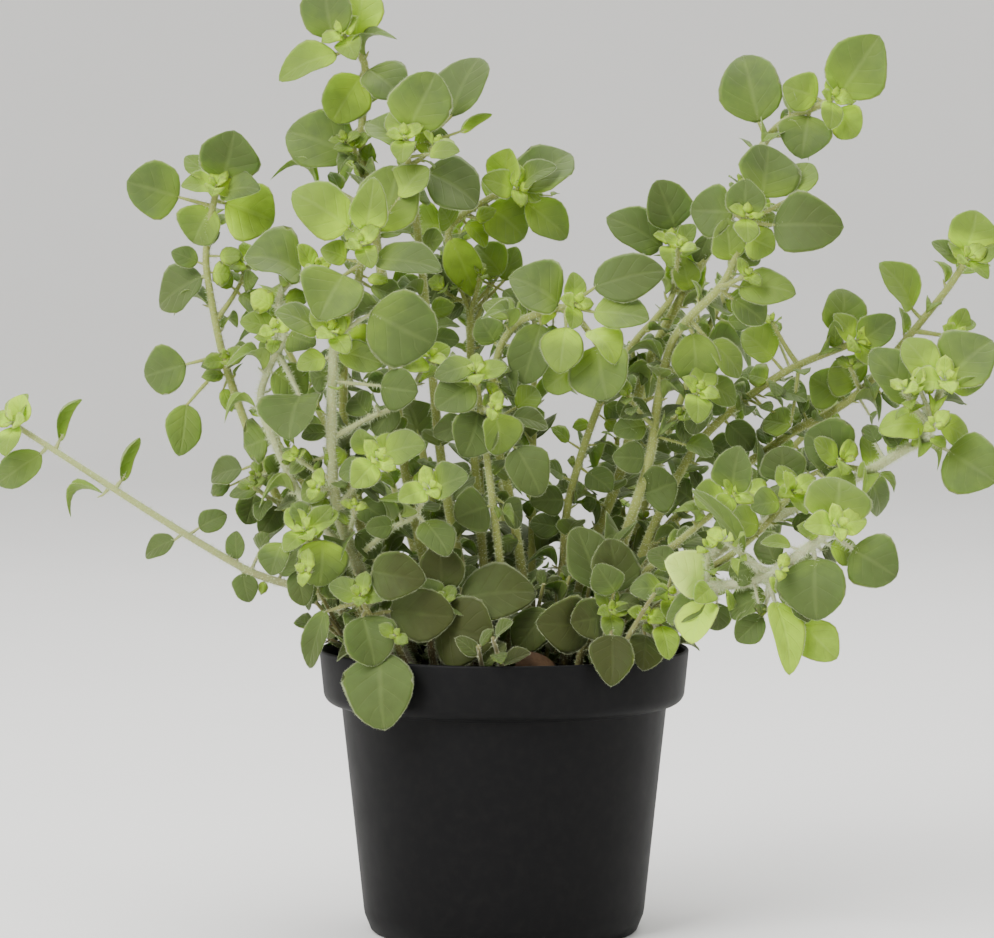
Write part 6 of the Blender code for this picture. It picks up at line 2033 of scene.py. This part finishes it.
def soil_mesh():
    """The soil's body, which fits the pot's inner wall, with lumps on its crown."""
    low = Vector(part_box("soil")[0])
    edge = POT_RIM_RADIUS - POT_RIM_TAPER - POT_WALL - 2 * GAP
    step = POT_HEIGHT - POT_RIM_HEIGHT + POT_WALL + GAP
    crown = [(edge * share, SOIL_CROWN + (SOIL_EDGE - SOIL_CROWN) * share)
             for share in np.linspace(0, 1, SOIL_RINGS)]
    outline = crown + [(edge, step + POT_RIM_ROUNDING), (edge - POT_RIM_ROUNDING, step),
                       (POT_SHOULDER_RADIUS - POT_WALL - 2 * GAP, step),
                       (POT_FOOT_RADIUS - POT_WALL - 1.0 * MM - 2 * GAP, low.z), (0, low.z)]
    mesh = turned_mesh("potting_soil", outline, SOIL_STEPS)
    for vertex in mesh.vertices:
        place = vertex.co
        reach = place.xy.length / edge
        if place.z > SOIL_EDGE - 1 * MM and reach < 0.995:
            lump = noise.fractal(place * 90, 1.0, 2.0, 4) * 1.5 + noise.noise(place * 500) * 0.35
            place.z += lump * MM * min(1, (1 - reach) * 8)
    mesh.shade_smooth()
    return mesh


def grain():
    """A crumb of unit size: a dented ball."""
    mesh = bpy.data.meshes.new("grain")
    with shaping(mesh) as shape:
        bmesh.ops.create_icosphere(shape, subdivisions=1, radius=0.5)
        for vertex in shape.verts:
            vertex.co *= 1 + 0.35 * noise.noise(vertex.co * 3)
    return bpy.data.objects.new("grain", mesh)


class OREGANO_OT_soil(bpy.types.Operator):
    """Fills the pot with lumpy soil and strews crumbs over it"""
    bl_idname = "oregano.soil"
    bl_label = "Soil"

    def execute(self, context):
        soil = show("potting_soil", soil_mesh(), soil_material())
        sizes = settings().sizes
        crumbs = show("soil_crumbs", made(soil, crumb_tree(), {
            "Crumb": grain(), "Size": sizes.crumb, "Seed": CRUMB_SEED,
            "Density": sizes.crumbs * 1e4, "Material": crumb_material()}))
        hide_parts("soil")
        for piece in (soil, crumbs):
            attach(piece, "root")
        return {"FINISHED"}


def grow_plant():
    """Every stem's lines, radius, leaves and share of the hairs, and the undergrowth's."""
    obstacles = Obstacles()
    obstacles.add("pot", *mesh_lists(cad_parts["pot"].data))
    stems = place_stems(obstacles)
    obstacles.add("soil", *mesh_lists(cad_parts["soil"].data))
    leaves = place_leaves(stems, obstacles)
    growths = {}
    for name, (lines, _) in stems.items():
        tone_leaves(leaves[name], lines, random.Random("tone " + name), LIGHT_STEMS.get(name, 0.0))
        growths[name] = grow_small_leaves(name, lines, leaves[name], obstacles)
    fill_bush(stems, obstacles, growths)
    grown = {name: (lines + growths[name].shoots, radius, leaves[name] + growths[name].leaves,
                    1 if name in STEMS else BACK_HAIRS)
             for name, (lines, radius) in stems.items()}
    low = grow_undergrowth(obstacles)
    grown["undergrowth"] = (low.shoots, UNDERGROWTH_RADIUS, low.leaves, UNDERGROWTH_HAIRS)
    return grown


def lay_dry_leaf(leafy, blades):
    """A fallen leaf, bent by the same tree as the living ones."""
    root = DRY_LEAF_BASE - Vector((2, 0, 1)) * MM
    leaf = Leaf(root, DRY_LEAF_BASE, DRY_LEAF_BASE + DRY_LEAF_SPAN, Vector((0.1, -1, 0.7)),
                DRY_LEAF_WIDTH)
    dry = leaf_points("dry_leaf", [leaf], random.Random(DRY_LEAF_SEED))
    skin = dry_leaf_material()
    dry.data = made(dry, leafy, {
        **blades, "Lines": curve_object("dry_lines", [], [leaf], 0, 1), "Pale": 0.0,
        "Ripples": DRY_LEAF_RIPPLES, "Leaf material": skin, "Stem material": skin})
    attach(dry, "root")


class OREGANO_OT_stems(bpy.types.Operator):
    """Grows every leafy stem at its packed place, with the small leaves that the solids leave out,
    covers stems and leaf rims with hairs, and lays a dry leaf on the soil"""
    bl_idname = "oregano.stems"
    bl_label = "Leafy stems"

    def execute(self, context):
        sizes = settings().sizes
        blades = {"Blade": blade_object("blade", FINE_ROWS, FINE_COLUMNS),
                  "Small blade": blade_object("small_blade", SMALL_ROWS, SMALL_COLUMNS),
                  "Bud blade": blade_object("bud_blade", BUD_ROWS, BUD_COLUMNS)}
        leafy, hairy = leafy_tree(), hair_tree()
        skins = {"Leaf material": leaf_material(), "Stem material": stem_material()}
        down = {"Hair": needle(), "Rim spacing": sizes.rim_hair_spacing,
                "Rim length": sizes.rim_hair_length, "Rim width": sizes.rim_hair_width,
                "Width": sizes.hair_width, "Material": hair_material()}
        for seed, (name, (lines, radius, found, hairs)) in enumerate(grow_plant().items()):
            # How much light the stem catches: its skin is painted paler with painted light, and its
            # hairs grow longer and denser
            light = max(0.0, LIGHT_STEMS.get(name, 0.0))
            piece = leaf_points(name + "_leafy", found, random.Random("form " + name))
            way = curve_object(name + "_lines", lines, found, radius, sizes.stem_share)
            piece.data = made(piece, leafy, {**blades, **skins, "Lines": way, "Pale": light,
                                             "Ripples": LEAF_RIPPLES})
            hair = show(name + "_hairs", made(piece, hairy, {
                **down, "Seed": seed, "Length": sizes.hair_length * (1 + 2 * light),
                "Density": hairs * sizes.hairs * (1 + 5 * light) * 1e6}))
            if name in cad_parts:
                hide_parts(name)
            for part in (piece, hair):
                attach(part, "root")
        lay_dry_leaf(leafy, blades)
        return {"FINISHED"}


def lay_floor():
    """A flat floor that curves up into a round wall."""
    profile = [(0, 0), (0.6, 0), (FLOOR_REACH, 0)]
    profile += [(FLOOR_REACH + WALL_CURVE * math.sin(a), WALL_CURVE - WALL_CURVE * math.cos(a))
                for a in np.linspace(0.1, math.pi / 2, 14)]
    floor = show("studio_floor", turned_mesh("studio_floor", profile, 96), floor_material())
    floor.data.flip_normals()
    floor.data.shade_smooth()
    floor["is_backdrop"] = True


def light_room(scene, studio):
    """Even white light from all round, and four soft lamps that the camera doesn't see."""
    scene.world = bpy.data.worlds.new("Studio room")
    scene.world.use_nodes = True
    background = scene.world.node_tree.nodes["Background"].inputs
    background["Color"].default_value = (1, 1, 1, 1)
    background["Strength"].default_value = studio.room
    for name, power, size, place in (
            ("Key light", studio.key, 0.9, (-0.9, -1.1, 1.2)),
            ("Fill light", studio.fill, 1.2, (1.4, -1.0, 0.6)),
            ("Top light", studio.top, 1.0, (0.3, 0.7, 1.5)),
            ("Ceiling light", studio.ceiling, 5.0, (0, 0, 3.2))):
        lamp = bpy.data.lights.new(name, "AREA")
        lamp.energy = power
        lamp.size = size
        item = bpy.data.objects.new(name, lamp)
        scene.collection.objects.link(item)
        item.location = place
        item.rotation_euler = (LIT_PLACE - item.location).to_track_quat("-Z", "Y").to_euler()
        item.visible_camera = False


def place_camera(scene):
    """The camera where the photo's stood, with a long lens."""
    camera = bpy.data.cameras.new("Camera")
    camera.lens = LENS
    camera.sensor_width = SENSOR
    camera.clip_end = 20
    view = bpy.data.objects.new("Camera", camera)
    view.location = EYE
    view.rotation_euler = (EYE_PITCH, 0, 0)
    scene.collection.objects.link(view)
    scene.camera = view


class OREGANO_OT_stage(bpy.types.Operator):
    """Sets up the pale studio floor, the soft lights and the camera"""
    bl_idname = "oregano.stage"
    bl_label = "Studio"

    def execute(self, context):
        lay_floor()
        light_room(context.scene, settings().studio)
        place_camera(context.scene)
        return {"FINISHED"}


class OREGANO_PT_panel(bpy.types.Panel):
    """The steps and settings of the potted oregano"""
    bl_idname = "OREGANO_PT_panel"
    bl_label = "Potted Oregano"
    bl_space_type = "VIEW_3D"
    bl_region_type = "UI"
    bl_category = "Oregano"

    def draw(self, context):
        oregano = context.scene.oregano
        for step in OPERATORS:
            self.layout.operator(step.bl_idname)
        for group in (oregano.sizes, oregano.colours, oregano.studio):
            box = self.layout.box()
            for key in group.bl_rna.properties.keys():
                if key not in ("rna_type", "name"):
                    box.prop(group, key)


OPERATORS = (OREGANO_OT_pot, OREGANO_OT_soil, OREGANO_OT_stems, OREGANO_OT_stage)
CLASSES = (OreganoSizes, OreganoColours, StudioSettings, OreganoSettings, *OPERATORS,
           OREGANO_PT_panel)


def register():
    for item in CLASSES:
        bpy.utils.register_class(item)
    bpy.types.Scene.oregano = PointerProperty(type=OreganoSettings)


def unregister():
    del bpy.types.Scene.oregano
    for item in reversed(CLASSES):
        bpy.utils.unregister_class(item)


def main():
    register()
    bpy.ops.oregano.pot()
    bpy.ops.oregano.soil()
    bpy.ops.oregano.stems()
    bpy.ops.oregano.stage()
    boxes = {"cad": CAD_BOX, "scene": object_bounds()}
    {key: [list(corner) for corner in box] for key, box in boxes.items()}


if __name__ == "__main__":
    main()
